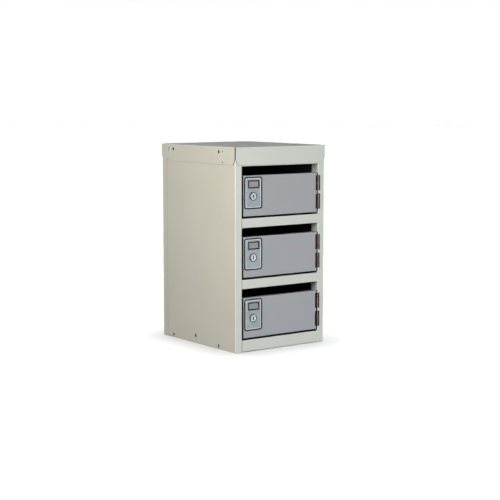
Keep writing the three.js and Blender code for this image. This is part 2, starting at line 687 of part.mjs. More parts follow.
// Plug with a keyway in its face and a square tail for the cam.
function lockPlug() {
  const face = FRONT - LOCK_PROUD + GAP;
  const rear = FRONT + CAM.fromFront - GAP;
  const profile = [[0, face], [LOCK_PLUG_RADIUS, face], [LOCK_PLUG_RADIUS, rear], [0, rear]];
  const keywayY = [face - CUT_MARGIN, face + KEYWAY[2]];
  const keyway = block(around(LOCK_X, KEYWAY[0]), keywayY, around(LOCK_Z, KEYWAY[1]));
  const tailY = [rear - WELD, rear + CAM.thickness + TAIL[1]];
  const tail = block(around(LOCK_X, TAIL[0]), tailY, around(LOCK_Z, TAIL[0]));
  return turnedAlongY(profile, LOCK_X, LOCK_Z, 16).subtract(keyway).add(tail);
}

// Cam hanging from the plug's tail. Turned to the lock side, it reaches behind the stile's return.
function lockCam() {
  const arm = rounded(around(LOCK_X, CAM.width), [LOCK_Z - CAM.reach, LOCK_Z + CAM.heel], CAM.corner);
  const hole = TAIL[0] + TAIL_PLAY;
  arm.holes.push(rounded(around(LOCK_X, hole), around(LOCK_Z, hole), 0.1));
  return alongY(arm, [FRONT + CAM.fromFront, FRONT + CAM.fromFront + CAM.thickness]);
}

// ---- Assembly ----

function piece(name, solid, material) {
  const mesh = new THREE.Mesh(geometryFrom(solid), material());
  mesh.name = name;
  return mesh;
}

function hingePieces(number, level) {
  const hinge = new THREE.Group();
  hinge.position.z = DOOR_BOTTOM + HINGES_UP[level];
  hinge.add(piece(`frame_hinge_leaf_${number}_${level}`, frameHingeLeaf(), HINGE_STEEL));
  hinge.add(piece(`door_hinge_leaf_${number}_${level}`, doorHingeLeaf(), HINGE_STEEL));
  hinge.add(piece(`hinge_pin_${number}_${level}`, hingePin(), HINGE_STEEL));
  return hinge;
}

// Everything that repeats with each compartment. Heights are from the opening's lower edge.
function compartment(number) {
  const group = new THREE.Group();
  group.position.z = openingBottom(number);
  group.add(piece(`door_${number}`, doorPan(), DOOR_PAINT));
  group.add(piece(`lock_plate_${number}`, lockPlate(), SATIN_STEEL));
  group.add(piece(`label_bezel_${number}`, labelBezel(), BLACK_PLASTIC));
  group.add(piece(`label_card_${number}`, labelCard(), CARD));
  group.add(piece(`lock_housing_${number}`, lockHousing(), CHROME));
  group.add(piece(`lock_nut_${number}`, lockNut(), ZINC));
  group.add(piece(`lock_plug_${number}`, lockPlug(), CHROME));
  group.add(piece(`lock_cam_${number}`, lockCam(), ZINC));
  group.add(piece(`charge_socket_${number}`, chargeSocket(), BLACK_PLASTIC));
  for (const level of Object.keys(HINGES_UP)) {
    group.add(hingePieces(number, level));
  }
  return group;
}

function carcass() {
  const group = new THREE.Group();
  group.add(piece('left_side_panel', leftSidePanel(), BODY_PAINT));
  group.add(piece('right_side_panel', rightSidePanel(), BODY_PAINT));
  group.add(piece('back_panel', backPanel(), BODY_PAINT));
  group.add(piece('base_tray', baseTray(), BODY_PAINT));
  group.add(piece('upper_shelf', shelf(openingBottom(1)), BODY_PAINT));
  group.add(piece('lower_shelf', shelf(openingBottom(2)), BODY_PAINT));
  group.add(piece('header_rail', headerRail(), BODY_PAINT));
  group.add(piece('top_cap', topCap(), BODY_PAINT));
  group.add(piece('rear_partition', rearPartition(), DARK_LINING));
  return group;
}

function chargingEquipment() {
  const group = new THREE.Group();
  group.add(piece('power_supply', powerSupply(), BLACK_PLASTIC));
  group.add(piece('mains_inlet', mainsInlet(), BLACK_PLASTIC));
  group.add(piece('inlet_lead', inletLead(), CABLE_JACKET));
  for (let number = 1; number <= COMPARTMENTS; number += 1) {
    group.add(piece(`charge_lead_${number}`, chargeLead(number), CABLE_JACKET));
  }
  return group;
}

const locker = new THREE.Group();
locker.name = 'phone_charging_locker';
locker.add(carcass());
locker.add(chargingEquipment());
for (let number = 1; number <= COMPARTMENTS; number += 1) {
  locker.add(compartment(number));
}

export default locker;
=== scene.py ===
"""The looks of a small three-door phone charging locker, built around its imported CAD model.

Every length is in metres, in the CAD model's own frame: +Z up, the doors face -Y.
"""

import math

import bmesh
import bpy
from mathutils import Matrix, Vector


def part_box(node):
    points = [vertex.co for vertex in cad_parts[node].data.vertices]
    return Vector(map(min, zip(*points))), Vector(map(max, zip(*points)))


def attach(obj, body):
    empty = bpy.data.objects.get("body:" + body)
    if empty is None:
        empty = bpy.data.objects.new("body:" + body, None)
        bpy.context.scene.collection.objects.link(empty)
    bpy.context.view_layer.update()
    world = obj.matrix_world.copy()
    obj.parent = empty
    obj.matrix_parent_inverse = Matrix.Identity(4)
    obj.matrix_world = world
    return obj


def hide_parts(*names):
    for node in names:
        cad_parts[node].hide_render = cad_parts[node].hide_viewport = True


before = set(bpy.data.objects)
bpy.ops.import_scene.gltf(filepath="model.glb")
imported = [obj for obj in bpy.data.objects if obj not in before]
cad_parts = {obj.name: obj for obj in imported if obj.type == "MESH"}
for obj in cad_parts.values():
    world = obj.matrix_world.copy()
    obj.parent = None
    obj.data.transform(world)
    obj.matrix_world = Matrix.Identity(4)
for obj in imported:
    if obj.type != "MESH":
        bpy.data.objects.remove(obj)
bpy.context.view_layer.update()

MM = 0.001
GAP = 0.3 * MM
SHEET = 1.2 * MM
FOLD_RADIUS = 2.4 * MM
FOLD_STEPS = 8
EDGE = 0.25 * MM         # softening of a cut sheet edge
SMALL_EDGE = 0.2 * MM    # softening of a hinge, a nut or the cap
FINE_EDGE = 0.12 * MM    # softening of a small machined piece
FIT = 0.05 * MM          # clearance of pieces pressed together
HAIR = 0.01 * MM         # keeps the two halves of a round end apart
NUMBERS = (1, 2, 3)      # compartments, the top one first
LEVELS = ("lower", "upper")

# ---- Places read from the CAD model ----

SIDE_LO, SIDE_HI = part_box("right_side_panel")
BACK_LO, BACK_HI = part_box("back_panel")
CAP_LO, CAP_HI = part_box("top_cap")
RAIL_LO, RAIL_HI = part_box("header_rail")
TRAY_LO, TRAY_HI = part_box("base_tray")
FRONT = SIDE_LO.y
HALF_WIDTH = BACK_HI.x
OPENING_X = RAIL_HI.x + GAP


# ---- Making meshes ----

def new_object(name, bm):
    bmesh.ops.recalc_face_normals(bm, faces=bm.faces)
    mesh = bpy.data.meshes.new(name)
    bm.to_mesh(mesh)
    bm.free()
    obj = bpy.data.objects.new(name, mesh)
    bpy.context.scene.collection.objects.link(obj)
    return obj


PLACES = {
    "x": lambda u, v, s: (s, u, v),
    "y": lambda u, v, s: (u, s, v),
    "z": lambda u, v, s: (u, v, s),
}


def lofted(name, axis, loops):
    """A closed body through equal loops of points. Each loop is (outline, station along the axis)."""
    place = PLACES[axis]
    bm = bmesh.new()
    rings = [[bm.verts.new(place(u, v, s)) for u, v in outline] for outline, s in loops]
    count = len(rings[0])
    bm.faces.new(rings[0])
    bm.faces.new(reversed(rings[-1]))
    for near, far in zip(rings, rings[1:]):
        for i in range(count):
            j = (i + 1) % count
            bm.faces.new((near[j], near[i], far[i], far[j]))
    return new_object(name, bm)


def prism(name, outline, axis, span):
    return lofted(name, axis, [(outline, span[0]), (outline, span[1])])


def block(name, x, y, z):
    outline = [(x[0], y[0]), (x[1], y[0]), (x[1], y[1]), (x[0], y[1])]
    return prism(name, outline, "z", z)


def arc(centre, radius, start, end, steps):
    angles = [start + (end - start) * i / steps for i in range(steps + 1)]
    return [(centre[0] + radius * math.cos(a), centre[1] + radius * math.sin(a)) for a in angles]


def circle(centre, radius, steps=32):
    return arc(centre, radius, 0, math.tau * (steps - 1) / steps, steps - 1)


def rounded(u, v, radius, steps=6):
    """A rectangle with round corners, from its span in u and its span in v."""
    quarter = math.pi / 2
    corners = [(u[1] - radius, v[0] + radius), (u[1] - radius, v[1] - radius),
               (u[0] + radius, v[1] - radius), (u[0] + radius, v[0] + radius)]
    outline = []
    for k, corner in enumerate(corners):
        outline += arc(corner, radius, (k - 1) * quarter, k * quarter, steps)
    return outline


def around(middle, length):
    return (middle - length / 2, middle + length / 2)


def shrunk(span, amount):
    return (span[0] + amount, span[1] - amount)


def spans(node):
    """A CAD node's span along X, Y and Z."""
    return tuple(zip(*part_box(node)))


def turned(name, profile, axis, centre, steps=48):
    """A lathed body. The profile is a closed line of (radius, station); radius 0 lies on the axis."""
    place = PLACES[axis]
    bm = bmesh.new()
    rings = []
    for radius, station in profile:
        if radius == 0:
            rings.append([bm.verts.new(place(centre[0], centre[1], station))])
            continue
        rings.append([bm.verts.new(place(u, v, station)) for u, v in circle(centre, radius, steps)])
    on_axis = any(len(ring) == 1 for ring in rings)
    pairs = list(zip(rings, rings[1:])) + ([] if on_axis else [(rings[-1], rings[0])])
    for near, far in pairs:
        for i in range(steps):
            j = (i + 1) % steps
            corners = [near[i % len(near)], near[j % len(near)], far[j % len(far)], far[i % len(far)]]
            bm.faces.new(list(dict.fromkeys(corners)))
    return new_object(name, bm)


def folded_skin(corners, inset):
    """A line through square corners that turn left, with its folds as arcs. Inset moves it inwards."""
    points = [Vector(corner) for corner in corners]
    ways = [(b - a).normalized() for a, b in zip(points, points[1:])]
    right = [Vector((way.y, -way.x)) for way in ways]
    skin = [points[0] - right[0] * inset]
    for i in range(1, len(points) - 1):
        centre = points[i] + (ways[i] - ways[i - 1]) * FOLD_RADIUS
        start = math.atan2(right[i - 1].y, right[i - 1].x)
        skin += arc(centre, FOLD_RADIUS - inset, start, start + math.pi / 2, FOLD_STEPS)
    skin.append(points[-1] - right[-1] * inset)
    return [tuple(point) for point in skin]


def folded(corners):
    """Section of a sheet folded along a line of outer corners."""
    return folded_skin(corners, 0) + folded_skin(corners, SHEET)[::-1]


def apply_modifiers(obj):
    bpy.context.view_layer.update()
    graph = bpy.context.evaluated_depsgraph_get()
    mesh = bpy.data.meshes.new_from_object(obj.evaluated_get(graph))
    obj.modifiers.clear()
    obj.data = mesh


def combine(obj, others, operation):
    for other in others:
        modifier = obj.modifiers.new("combine", "BOOLEAN")
        modifier.operation = operation
        modifier.solver = "EXACT"
        modifier.object = other
    apply_modifiers(obj)
    for other in others:
        bpy.data.objects.remove(other)
    return obj


def join(obj, *others):
    return combine(obj, others, "UNION")


def cut(obj, *others):
    return combine(obj, others, "DIFFERENCE")


def soften(obj, width=EDGE, segments=2, angle=40):
    """Rounds the sharp edges, and shades flat faces flat and folds smooth."""
    bevel = obj.modifiers.new("edges", "BEVEL")
    bevel.width = width
    bevel.segments = segments
    bevel.limit_method = "ANGLE"
    bevel.angle_limit = math.radians(angle)
    apply_modifiers(obj)
    return smooth(obj)


def score(obj, heights):
    """Splits the faces that cross each height, so that a finish can stop there."""
    bm = bmesh.new()
    bm.from_mesh(obj.data)
    for height in heights:
        everything = bm.verts[:] + bm.edges[:] + bm.faces[:]
        bmesh.ops.bisect_plane(bm, geom=everything, plane_co=(0, 0, height), plane_no=(0, 0, 1))
    bm.to_mesh(obj.data)
    bm.free()


def smooth(obj, angle=35):
    mesh = obj.data
    mesh.polygons.foreach_set("use_smooth", [True] * len(mesh.polygons))
    mesh.set_sharp_from_angle(angle=math.radians(angle))
    weighted = obj.modifiers.new("normals", "WEIGHTED_NORMAL")
    weighted.keep_sharp = True
    apply_modifiers(obj)
    return obj


# ---- Making materials ----

def new_material(name):
    material = bpy.data.materials.new(name)
    material.use_nodes = True
    tree = material.node_tree
    return material, tree, tree.nodes["Principled BSDF"]


def add_node(tree, kind, inputs=(), **settings):
    """A node with its settings. Each of its inputs takes a value or another node's output."""
    node = tree.nodes.new(kind)
    for key, value in settings.items():
        setattr(node, key, value)
    for key, value in dict(inputs).items():
        if isinstance(value, bpy.types.NodeSocket):
            tree.links.new(value, node.inputs[key])
        else:
            node.inputs[key].default_value = value
    return node


def noise(tree, scale, detail=3, stretch=(1, 1, 1)):
    """Noise in the object's own space. The scale is in waves per metre."""
    place = add_node(tree, "ShaderNodeTexCoord").outputs["Object"]
    mapped = add_node(tree, "ShaderNodeMapping", {"Vector": place, "Scale": stretch}).outputs["Vector"]
    inputs = {"Vector": mapped, "Scale": scale, "Detail": detail}
    return add_node(tree, "ShaderNodeTexNoise", inputs).outputs["Fac"]


def ramp(tree, factor, low, high):
    """Spreads the factor's span from low to high over 0 to 1, with soft ends."""
    inputs = {"Value": factor, "From Min": low, "From Max": high}
    return add_node(tree, "ShaderNodeMapRange", inputs, interpolation_type="SMOOTHSTEP").outputs["Result"]


def scaled(tree, factor, low, high):
    """A value that runs from low to high as the factor runs from 0 to 1."""
    inputs = {"Value": factor, "To Min": low, "To Max": high}
    return add_node(tree, "ShaderNodeMapRange", inputs).outputs["Result"]


def calculated(tree, operation, a, b):
    return add_node(tree, "ShaderNodeMath", {0: a, 1: b}, operation=operation).outputs["Value"]


MIX_A, MIX_B, MIX_RESULT = 6, 7, 2   # the colour sockets of a Mix node


def mix(tree, factor, a, b):
    """A colour between a and b, each of them a colour or another node's output."""
    a, b = [(*end, 1) if isinstance(end, tuple) else end for end in (a, b)]
    node = add_node(tree, "ShaderNodeMix", {"Factor": factor, MIX_A: a, MIX_B: b}, data_type="RGBA")
    return node.outputs[MIX_RESULT]


def on_folds(tree):
    """1 on folds and softened edges, and 0 on the flats, which all face along an axis."""
    normal = add_node(tree, "ShaderNodeTexCoord").outputs["Normal"]
    size = add_node(tree, "ShaderNodeVectorMath", {0: normal}, operation="ABSOLUTE").outputs["Vector"]
    parts = add_node(tree, "ShaderNodeSeparateXYZ", {"Vector": size}).outputs
    largest = calculated(tree, "MAXIMUM", parts["X"], parts["Y"])
    return ramp(tree, calculated(tree, "MAXIMUM", largest, parts["Z"]), 0.995, 0.85)


def in_crevices(tree, reach):
    """1 in seams and corners that are narrower than the reach, which powder_coat darkens as painted shade."""
    openness = add_node(tree, "ShaderNodeAmbientOcclusion", {"Distance": reach}, samples=6)
    return ramp(tree, openness.outputs["AO"], 0.72, 0.25)


def bump(tree, height, strength, distance, under=None):
    inputs = {"Height": height, "Strength": strength, "Distance": distance}
    if under is not None:
        inputs["Normal"] = under
    return add_node(tree, "ShaderNodeBump", inputs).outputs["Normal"]


def powder_coat(name, colour, cloud, edge, roughness, blotch=7):
    """Satin powder coat: a cloudy tone, fine grain, orange peel, paint paler along the folds as wear and as a
    painted highlight, and painted shade in seams.
    """
    material, tree, shader = new_material(name)
    shader.inputs["Specular IOR Level"].default_value = 0.3
    grain = ramp(tree, noise(tree, 900, 2), 0.25, 0.75)
    clouds = ramp(tree, noise(tree, blotch, 4), 0.36, 0.66)
    tone = mix(tree, clouds, colour, cloud)
    grained = mix(tree, scaled(tree, grain, 0, 0.10), tone, tuple(0.8 * c for c in colour))
    # Folds and edges turn paler, partly as wear and partly as a painted highlight.
    patches = scaled(tree, noise(tree, 60, 4), 0.35, 1.0)
    fold_wear_and_highlight = calculated(tree, "MULTIPLY", on_folds(tree), patches)
    worn_and_highlighted = mix(tree, fold_wear_and_highlight, grained, edge)
    # Painted shade: the paint darkens to a sixth of its colour in seams and corners.
    painted_crevice_shade = mix(tree, in_crevices(tree, 5 * MM), worn_and_highlighted, tuple(0.15 * c for c in colour))
    tree.links.new(painted_crevice_shade, shader.inputs["Base Color"])
    tree.links.new(scaled(tree, noise(tree, 30, 3), *roughness), shader.inputs["Roughness"])
    peel = bump(tree, noise(tree, 420, 2), 0.12, 0.2 * MM)
    tree.links.new(bump(tree, noise(tree, 9, 2), 0.25, 2 * MM, peel), shader.inputs["Normal"])
    return material


def plated(name, colour, shade, roughness, stretch=(1, 1, 1), grain=500, metallic=1.0):
    """Metal with a fine grain, which runs along one axis where it is stretched, and cloudy dulling."""
    material, tree, shader = new_material(name)
    shader.inputs["Metallic"].default_value = metallic
    streaks = noise(tree, grain, 3, stretch)
    dull = ramp(tree, noise(tree, 45, 4), 0.35, 0.7)
    tree.links.new(mix(tree, dull, colour, shade), shader.inputs["Base Color"])
    tree.links.new(scaled(tree, streaks, *roughness), shader.inputs["Roughness"])
    tree.links.new(bump(tree, streaks, 0.08, 0.1 * MM), shader.inputs["Normal"])
    return material


def moulded(name, colour, shade, roughness, grain=1200):
    """Plastic or rubber with a fine moulded texture and slightly paler scuffs."""
    material, tree, shader = new_material(name)
    shader.inputs["Specular IOR Level"].default_value = 0.25
    scuffs = ramp(tree, noise(tree, 80, 5), 0.45, 0.8)
    tree.links.new(mix(tree, scuffs, colour, shade), shader.inputs["Base Color"])
    tree.links.new(scaled(tree, noise(tree, 120, 3), *roughness), shader.inputs["Roughness"])
    tree.links.new(bump(tree, noise(tree, grain, 2), 0.2, 0.1 * MM), shader.inputs["Normal"])
    return material


def paper(name, colour, shade):
    material, tree, shader = new_material(name)
    fibres = noise(tree, 1500, 4, (1, 1, 0.3))
    tree.links.new(mix(tree, ramp(tree, fibres, 0.3, 0.7), colour, shade), shader.inputs["Base Color"])
    tree.links.new(scaled(tree, fibres, 0.8, 0.95), shader.inputs["Roughness"])
    tree.links.new(bump(tree, fibres, 0.2, 0.05 * MM), shader.inputs["Normal"])
    return material


# The third colour of each coat is the paler tone of its folds: partly wear, partly a painted highlight.
BODY_PAINT = powder_coat(
    "body_paint", (0.635, 0.635, 0.580), (0.618, 0.616, 0.556), (0.90, 0.90, 0.86), (0.42, 0.55))
# A darker copy of the body paint for the stiles' inner returns: painted shade in the slot above each door.
SHADED_RETURN_PAINT = powder_coat(
    "painted_shade_return", (0.47, 0.49, 0.50), (0.40, 0.42, 0.43), (0.60, 0.60, 0.60), (0.5, 0.6), 30)
DOOR_PAINT = powder_coat(
    "door_paint", (0.374, 0.352, 0.381), (0.342, 0.365, 0.377), (0.62, 0.62, 0.64), (0.42, 0.55), 42)
# Near-black paint used as painted shade: it stands for the shade inside the compartments, in gaps, in holes
# and in the keyways.
PAINTED_SHADE_BLACK = powder_coat(
    "dark_lining", (0.016, 0.017, 0.019), (0.024, 0.025, 0.028), (0.04, 0.04, 0.04), (0.6, 0.8))
BRUSHED = (1, 1, 0.04)   # draws the grain out along Z
EVEN = (1, 1, 1)
HINGE_STEEL = plated("hinge_steel", (0.125, 0.088, 0.102), (0.075, 0.048, 0.058), (0.16, 0.24))
ZINC = plated("zinc", (0.60, 0.60, 0.58), (0.48, 0.48, 0.47), (0.30, 0.45))
SATIN_STEEL = plated(
    "satin_steel", (0.220, 0.243, 0.250), (0.192, 0.215, 0.224), (0.42, 0.55), BRUSHED, 900, 0.55)
RIM_HIGHLIGHT_STEEL = plated(
    "rim_highlight_steel", (0.50, 0.50, 0.515), (0.44, 0.445, 0.46), (0.40, 0.52), BRUSHED, 900, 0.3)
LOCK_FACE = plated("lock_face", (0.29, 0.29, 0.295), (0.25, 0.25, 0.255), (0.30, 0.40), EVEN, 700, 0.6)
CHROME = plated("chrome", (0.86, 0.87, 0.88), (0.80, 0.81, 0.82), (0.10, 0.20))
BLACK_PLASTIC = moulded("black_plastic", (0.008, 0.007, 0.008), (0.014, 0.013, 0.014), (0.55, 0.7))
CONTACT_WHITE = moulded("contact_white", (0.55, 0.55, 0.53), (0.48, 0.48, 0.47), (0.35, 0.5))
CARD = paper("card", (0.35, 0.325, 0.33), (0.30, 0.285, 0.292))
CABLE_JACKET = moulded("cable_jacket", (0.018, 0.018, 0.019), (0.03, 0.03, 0.03), (0.5, 0.65), 600)


def give(obj, body, slot, material, *nodes):
    """Finishes a piece: its material, the body it rides on, and the CAD nodes it stands for. Its slot is not
    used.
    """
    obj.data.materials.clear()
    obj.data.materials.append(material)
    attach(obj, body)
    if nodes:
        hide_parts(*nodes)
    return obj


def line(obj, material, is_lined):
    """Gives a further material to the faces for which is_lined(centre, normal) holds."""
    obj.data.materials.append(material)
    index = len(obj.data.materials) - 1
    for face in obj.data.polygons:
        if is_lined(face.center, face.normal):
            face.material_index = index
    return obj


# ---- Carcass ----

STILE_RETURN = 30 * MM
TONGUE_LAP = 15 * MM          # the side wall's tongue starts this far ahead of the back flange
JOGGLE = 2 * MM
SEAM = 0.9 * MM               # open joint ahead of the back flange
STOP_TAB = (9 * MM, 20 * MM)  # length and height of a door stop
STOP_TABS_UP = (20 * MM, 85 * MM)
SLOT = (7.4 * MM, 9.6 * MM)   # width and height of a fixing slot
SIDE_SLOTS = ((86 * MM, 9 * MM), (207 * MM, 23 * MM), (330 * MM, 8.5 * MM))  # from the front, up
CAP_SLOTS = (79 * MM, 323 * MM)
CAP_SLOT_DROP = 15 * MM
PILOT_RADIUS = 2 * MM
PILOTS = ((349 * MM, 11.5 * MM), (349 * MM, 17.5 * MM), (354 * MM, 47 * MM), (61 * MM, 14 * MM),
          (61 * MM, 45 * MM))  # from the front, down
NOTCH = 7.2 * MM              # half width of the notch around the hinge knuckles
STILE_NOTCH = 9.6 * MM        # reach of the stile's notch past the hinge's axis
NOTCH_ROOM = 1.5 * MM         # above and below a hinge in its notch
WELD_RADIUS = 9 * MM          # of the ball that presses a spot weld's dimple
WELD_DEPTH = 0.35 * MM
WELD_DROP = 6 * MM            # from the top of the shelf or floor that it holds
WELDS_FROM_FRONT = (33 * MM, 140 * MM, 250 * MM, 340 * MM)
BEYOND = 5 * MM               # how far a cutting body reaches past what it cuts

CARCASS_TOP = SIDE_HI.z
BACK_FLANGE_FRONT = BACK_LO.y
DOOR_BOXES = {number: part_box(f"door_{number}") for number in NUMBERS}
SHELF_TOPS = (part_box("upper_shelf")[1].z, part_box("lower_shelf")[1].z, TRAY_HI.z)
DOOR_REAR = DOOR_BOXES[1][1].y


def round_slot(side, from_front, up):
    """Fixing slot with round ends, through a side wall."""
    outline = rounded(around(FRONT + from_front, SLOT[0]), around(up, SLOT[1]), SLOT[0] / 2 - HAIR)
    return prism("slot", outline, "x", around(side * HALF_WIDTH, 2 * BEYOND))


def pilot_hole(side, from_front, down):
    """Rivet hole through a side skirt of the cap and the wall behind it."""
    outline = circle((FRONT + from_front, CAP_HI.z - down), PILOT_RADIUS, steps=16)
    return prism("pilot", outline, "x", around(side * HALF_WIDTH, 2 * BEYOND))


def cap_holes(side):
    """The slots and rivet holes that a side skirt of the cap shares with the wall behind it."""
    holes = [round_slot(side, from_front, CAP_HI.z - CAP_SLOT_DROP) for from_front in CAP_SLOTS]
    return holes + [pilot_hole(side, from_front, down) for from_front, down in PILOTS]


def mirrored(points, side):
    """Points of the right side, or of the left side in the order that keeps the folds turning left."""
    return points if side > 0 else [(-u, v) for u, v in reversed(points)]


def spot_weld(side, from_front, up):
    """A ball that presses a shallow dimple into a side wall."""
    steps = 10
    angles = [math.pi * i / steps for i in range(1, steps)]
    centre = side * (HALF_WIDTH + WELD_RADIUS - WELD_DEPTH)
    profile = [(0, centre - WELD_RADIUS)]
    profile += [(WELD_RADIUS * math.sin(a), centre - WELD_RADIUS * math.cos(a)) for a in angles]
    profile.append((0, centre + WELD_RADIUS))
    return turned("weld", profile, "x", (FRONT + from_front, up), steps=32)


def side_holes(side):
    """All that is cut out of a side wall: slots, rivet holes, weld dimples and the hinges' notches."""
    holes = [round_slot(side, from_front, up) for from_front, up in SIDE_SLOTS]
    holes += cap_holes(side)
    holes += [spot_weld(side, from_front, top - WELD_DROP)
              for top in SHELF_TOPS for from_front in WELDS_FROM_FRONT]
    if side > 0:
        holes += hinge_notches((OPENING_X - BEYOND, HINGE_X + STILE_NOTCH), NUMBERS)
    return holes


def tongue(side):
    """The rear edge of a side wall, joggled inwards to lie under the back's flange."""
    inner = HALF_WIDTH - 2 * SHEET - GAP
    front = BACK_FLANGE_FRONT - TONGUE_LAP
    height = (0, CARCASS_TOP)
    flat = sorted((side * inner, side * (inner + SHEET)))
    joggle = sorted((side * inner, side * (HALF_WIDTH - SHEET / 2)))
    return [block("tongue", flat, (front, BACK_HI.y - FOLD_RADIUS - GAP), height),
            block("joggle", joggle, (front, front + JOGGLE), height)]


def side_shell(side):
    """Side wall, front stile and stile return in one sheet, with a tongue under the back's flange."""
    corners = [(OPENING_X, FRONT + STILE_RETURN), (OPENING_X, FRONT), (HALF_WIDTH, FRONT),
               (HALF_WIDTH, BACK_FLANGE_FRONT - SEAM)]
    name = "right_side_shell" if side > 0 else "left_side_shell"
    shell = prism(name, folded(mirrored(corners, side)), "z", (0, CARCASS_TOP))
    join(shell, *tongue(side), *(stop_tabs() if side < 0 else []))
    cut(shell, *side_holes(side))
    under_cap = CAP_LO.z + SIDE_CHAMFER[1]
    score(shell, [corner.z for box in DOOR_BOXES.values() for corner in box] + [under_cap])
    give(soften(shell), "root", "body_paint", BODY_PAINT, name.replace("shell", "panel"))
    # Painted shade: the wall's inner faces, its hole edges, the return beside the doors and the wall under
    # the cap are painted black.
    line(shell, PAINTED_SHADE_BLACK, lambda centre, normal: is_inside_wall(centre, normal, side))
    line(shell, PAINTED_SHADE_BLACK, is_hole_edge)
    # Painted shade on the stile's return.
    line(shell, SHADED_RETURN_PAINT, is_stile_return)
    line(shell, PAINTED_SHADE_BLACK, lambda centre, normal: is_behind_door(centre, normal, side))
    line(shell, PAINTED_SHADE_BLACK, lambda centre, normal: centre.z > under_cap)


def is_hole_edge(centre, normal):
    """Whether a face of a side wall or a side skirt lines one of its holes."""
    away_from_folds = FRONT + 4 * FOLD_RADIUS < centre.y < BACK_FLANGE_FRONT - TONGUE_LAP - FOLD_RADIUS
    below_fold = FOLD_RADIUS < centre.z < CARCASS_TOP - FOLD_RADIUS
    return away_from_folds and below_fold and abs(normal.x) < 0.5 and abs(centre.x) > HALF_WIDTH - 2 * SHEET


def is_stile_return(centre, normal):
    return abs(normal.x) > 0.9 and abs(abs(centre.x) - OPENING_X) < SHEET / 2


def is_behind_door(centre, normal, side):
    """The part of a stile's fold and return that a closed door hides, painted black as painted shade so the
    gap beside the door reads dark.
    """
    faces_opening = normal.x * side < -0.4 and centre.x * side < OPENING_X + FOLD_RADIUS
    beside_door = any(lo.z < centre.z < hi.z for lo, hi in DOOR_BOXES.values())
    return faces_opening and beside_door and centre.y > FRONT + FOLD_RADIUS / 8


def is_inside_wall(centre, normal, side):
    return normal.x * side < -0.5 and centre.x * side > OPENING_X + SHEET


def stop_tabs():
    """Tabs that the doors' folded edges close against."""
    y = (DOOR_REAR + 2 * GAP, DOOR_REAR + 2 * GAP + SHEET)
    x = (-OPENING_X - SHEET / 2, -OPENING_X + STOP_TAB[0])
    bottoms = [top + up for top in SHELF_TOPS for up in STOP_TABS_UP]
    return [block("tab", x, y, (bottom, bottom + STOP_TAB[1])) for bottom in bottoms]


HINGE_X = (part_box("hinge_pin_1_upper")[0].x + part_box("hinge_pin_1_upper")[1].x) / 2


def hinge_notches(x, numbers):
    """Room for the knuckles of the numbered doors' hinges, cut into a front edge."""
    y = (FRONT - BEYOND, FRONT + NOTCH)
    boxes = [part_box(f"frame_hinge_leaf_{number}_{level}") for number in numbers for level in LEVELS]
    return [block("notch", x, y, (low.z - NOTCH_ROOM, high.z + NOTCH_ROOM)) for low, high in boxes]


VENT_ROWS = 5
VENT_X = (-130 * MM, -30 * MM)
VENT_LOWEST = 170 * MM
VENT_PITCH = 14 * MM
VENT_HEIGHT = 4 * MM
INLET_LO, INLET_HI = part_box("mains_inlet")
INLET_X = (INLET_LO.x + INLET_HI.x) / 2
INLET_Z = (INLET_LO.z + INLET_HI.z) / 2
INLET_CUT = (28 * MM, 21 * MM)


def back_shell():
    """Rear wall with a flange wrapped round each side, the inlet's cut-out and ventilation slots."""
    corners = [(HALF_WIDTH, BACK_LO.y), (HALF_WIDTH, BACK_HI.y), (-HALF_WIDTH, BACK_HI.y),
               (-HALF_WIDTH, BACK_LO.y)]
    shell = prism("back_shell", folded(corners), "z", (0, CARCASS_TOP))
    y = around(BACK_HI.y, 2 * BEYOND)
    holes = [block("inlet_cut", around(INLET_X, INLET_CUT[0]), y, around(INLET_Z, INLET_CUT[1]))]
    for row in range(VENT_ROWS):
        z = around(VENT_LOWEST + row * VENT_PITCH, VENT_HEIGHT)
        holes.append(prism("vent", rounded(VENT_X, z, VENT_HEIGHT / 2 - HAIR), "y", y))
    cut(shell, *holes)
    give(soften(shell), "root", "body_paint", BODY_PAINT, "back_panel")
    # The back's inner faces are painted black as painted shade.
    line(shell, PAINTED_SHADE_BLACK, lambda centre, normal: normal.y < -0.5 and centre.y > BACK_HI.y - 2 * SHEET)


RAIL_RETURN = 12 * MM
WING_FLANGE = 12 * MM
WELD_LAP = 2 * MM
BASE_RETURN = 15 * MM
MIDDLE_SPAN = (RAIL_LO.x, RAIL_HI.x)


def wings(top, rear):
    """The parts of a floor behind the stiles, with the flanges that join them to the side walls."""
    y = (FRONT + STILE_RETURN + 2 * GAP, rear)
    outer = TRAY_HI.x
    corners = [(outer, top - WING_FLANGE), (outer, top), (OPENING_X - WELD_LAP, top)]
    return [prism("wing", folded(mirrored(corners, side)), "y", y) for side in (-1, 1)]


def floor_sheet(name, node, corners, top, rear):
    """A shelf or floor whose folded front lip is painted, and whose surfaces inside are painted black as
    painted shade.
    """
    sheet = prism(name, folded(corners), "x", MIDDLE_SPAN)
    join(sheet, *wings(top, rear))
    give(soften(sheet), "root", "body_paint", BODY_PAINT, node)
    line(sheet, PAINTED_SHADE_BLACK, lambda centre, normal: is_inside_floor(centre, normal, top))


def is_inside_floor(centre, normal, top):
    """The surfaces behind a floor's lip, and the top with the upper half of its fold, which take painted
    shade.
    """
    behind_lip = abs(normal.z) > 0.5 and centre.y > FRONT + RAIL_RETURN + SHEET
    return behind_lip or (normal.z > 0.6 and centre.z > top - FOLD_RADIUS)


def shelf_sheet(node):
    low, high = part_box(node)
    corners = [(high.y, high.z), (FRONT, high.z), (FRONT, low.z), (FRONT + RAIL_RETURN, low.z)]
    floor_sheet(node + "_sheet", node, corners, high.z, high.y)


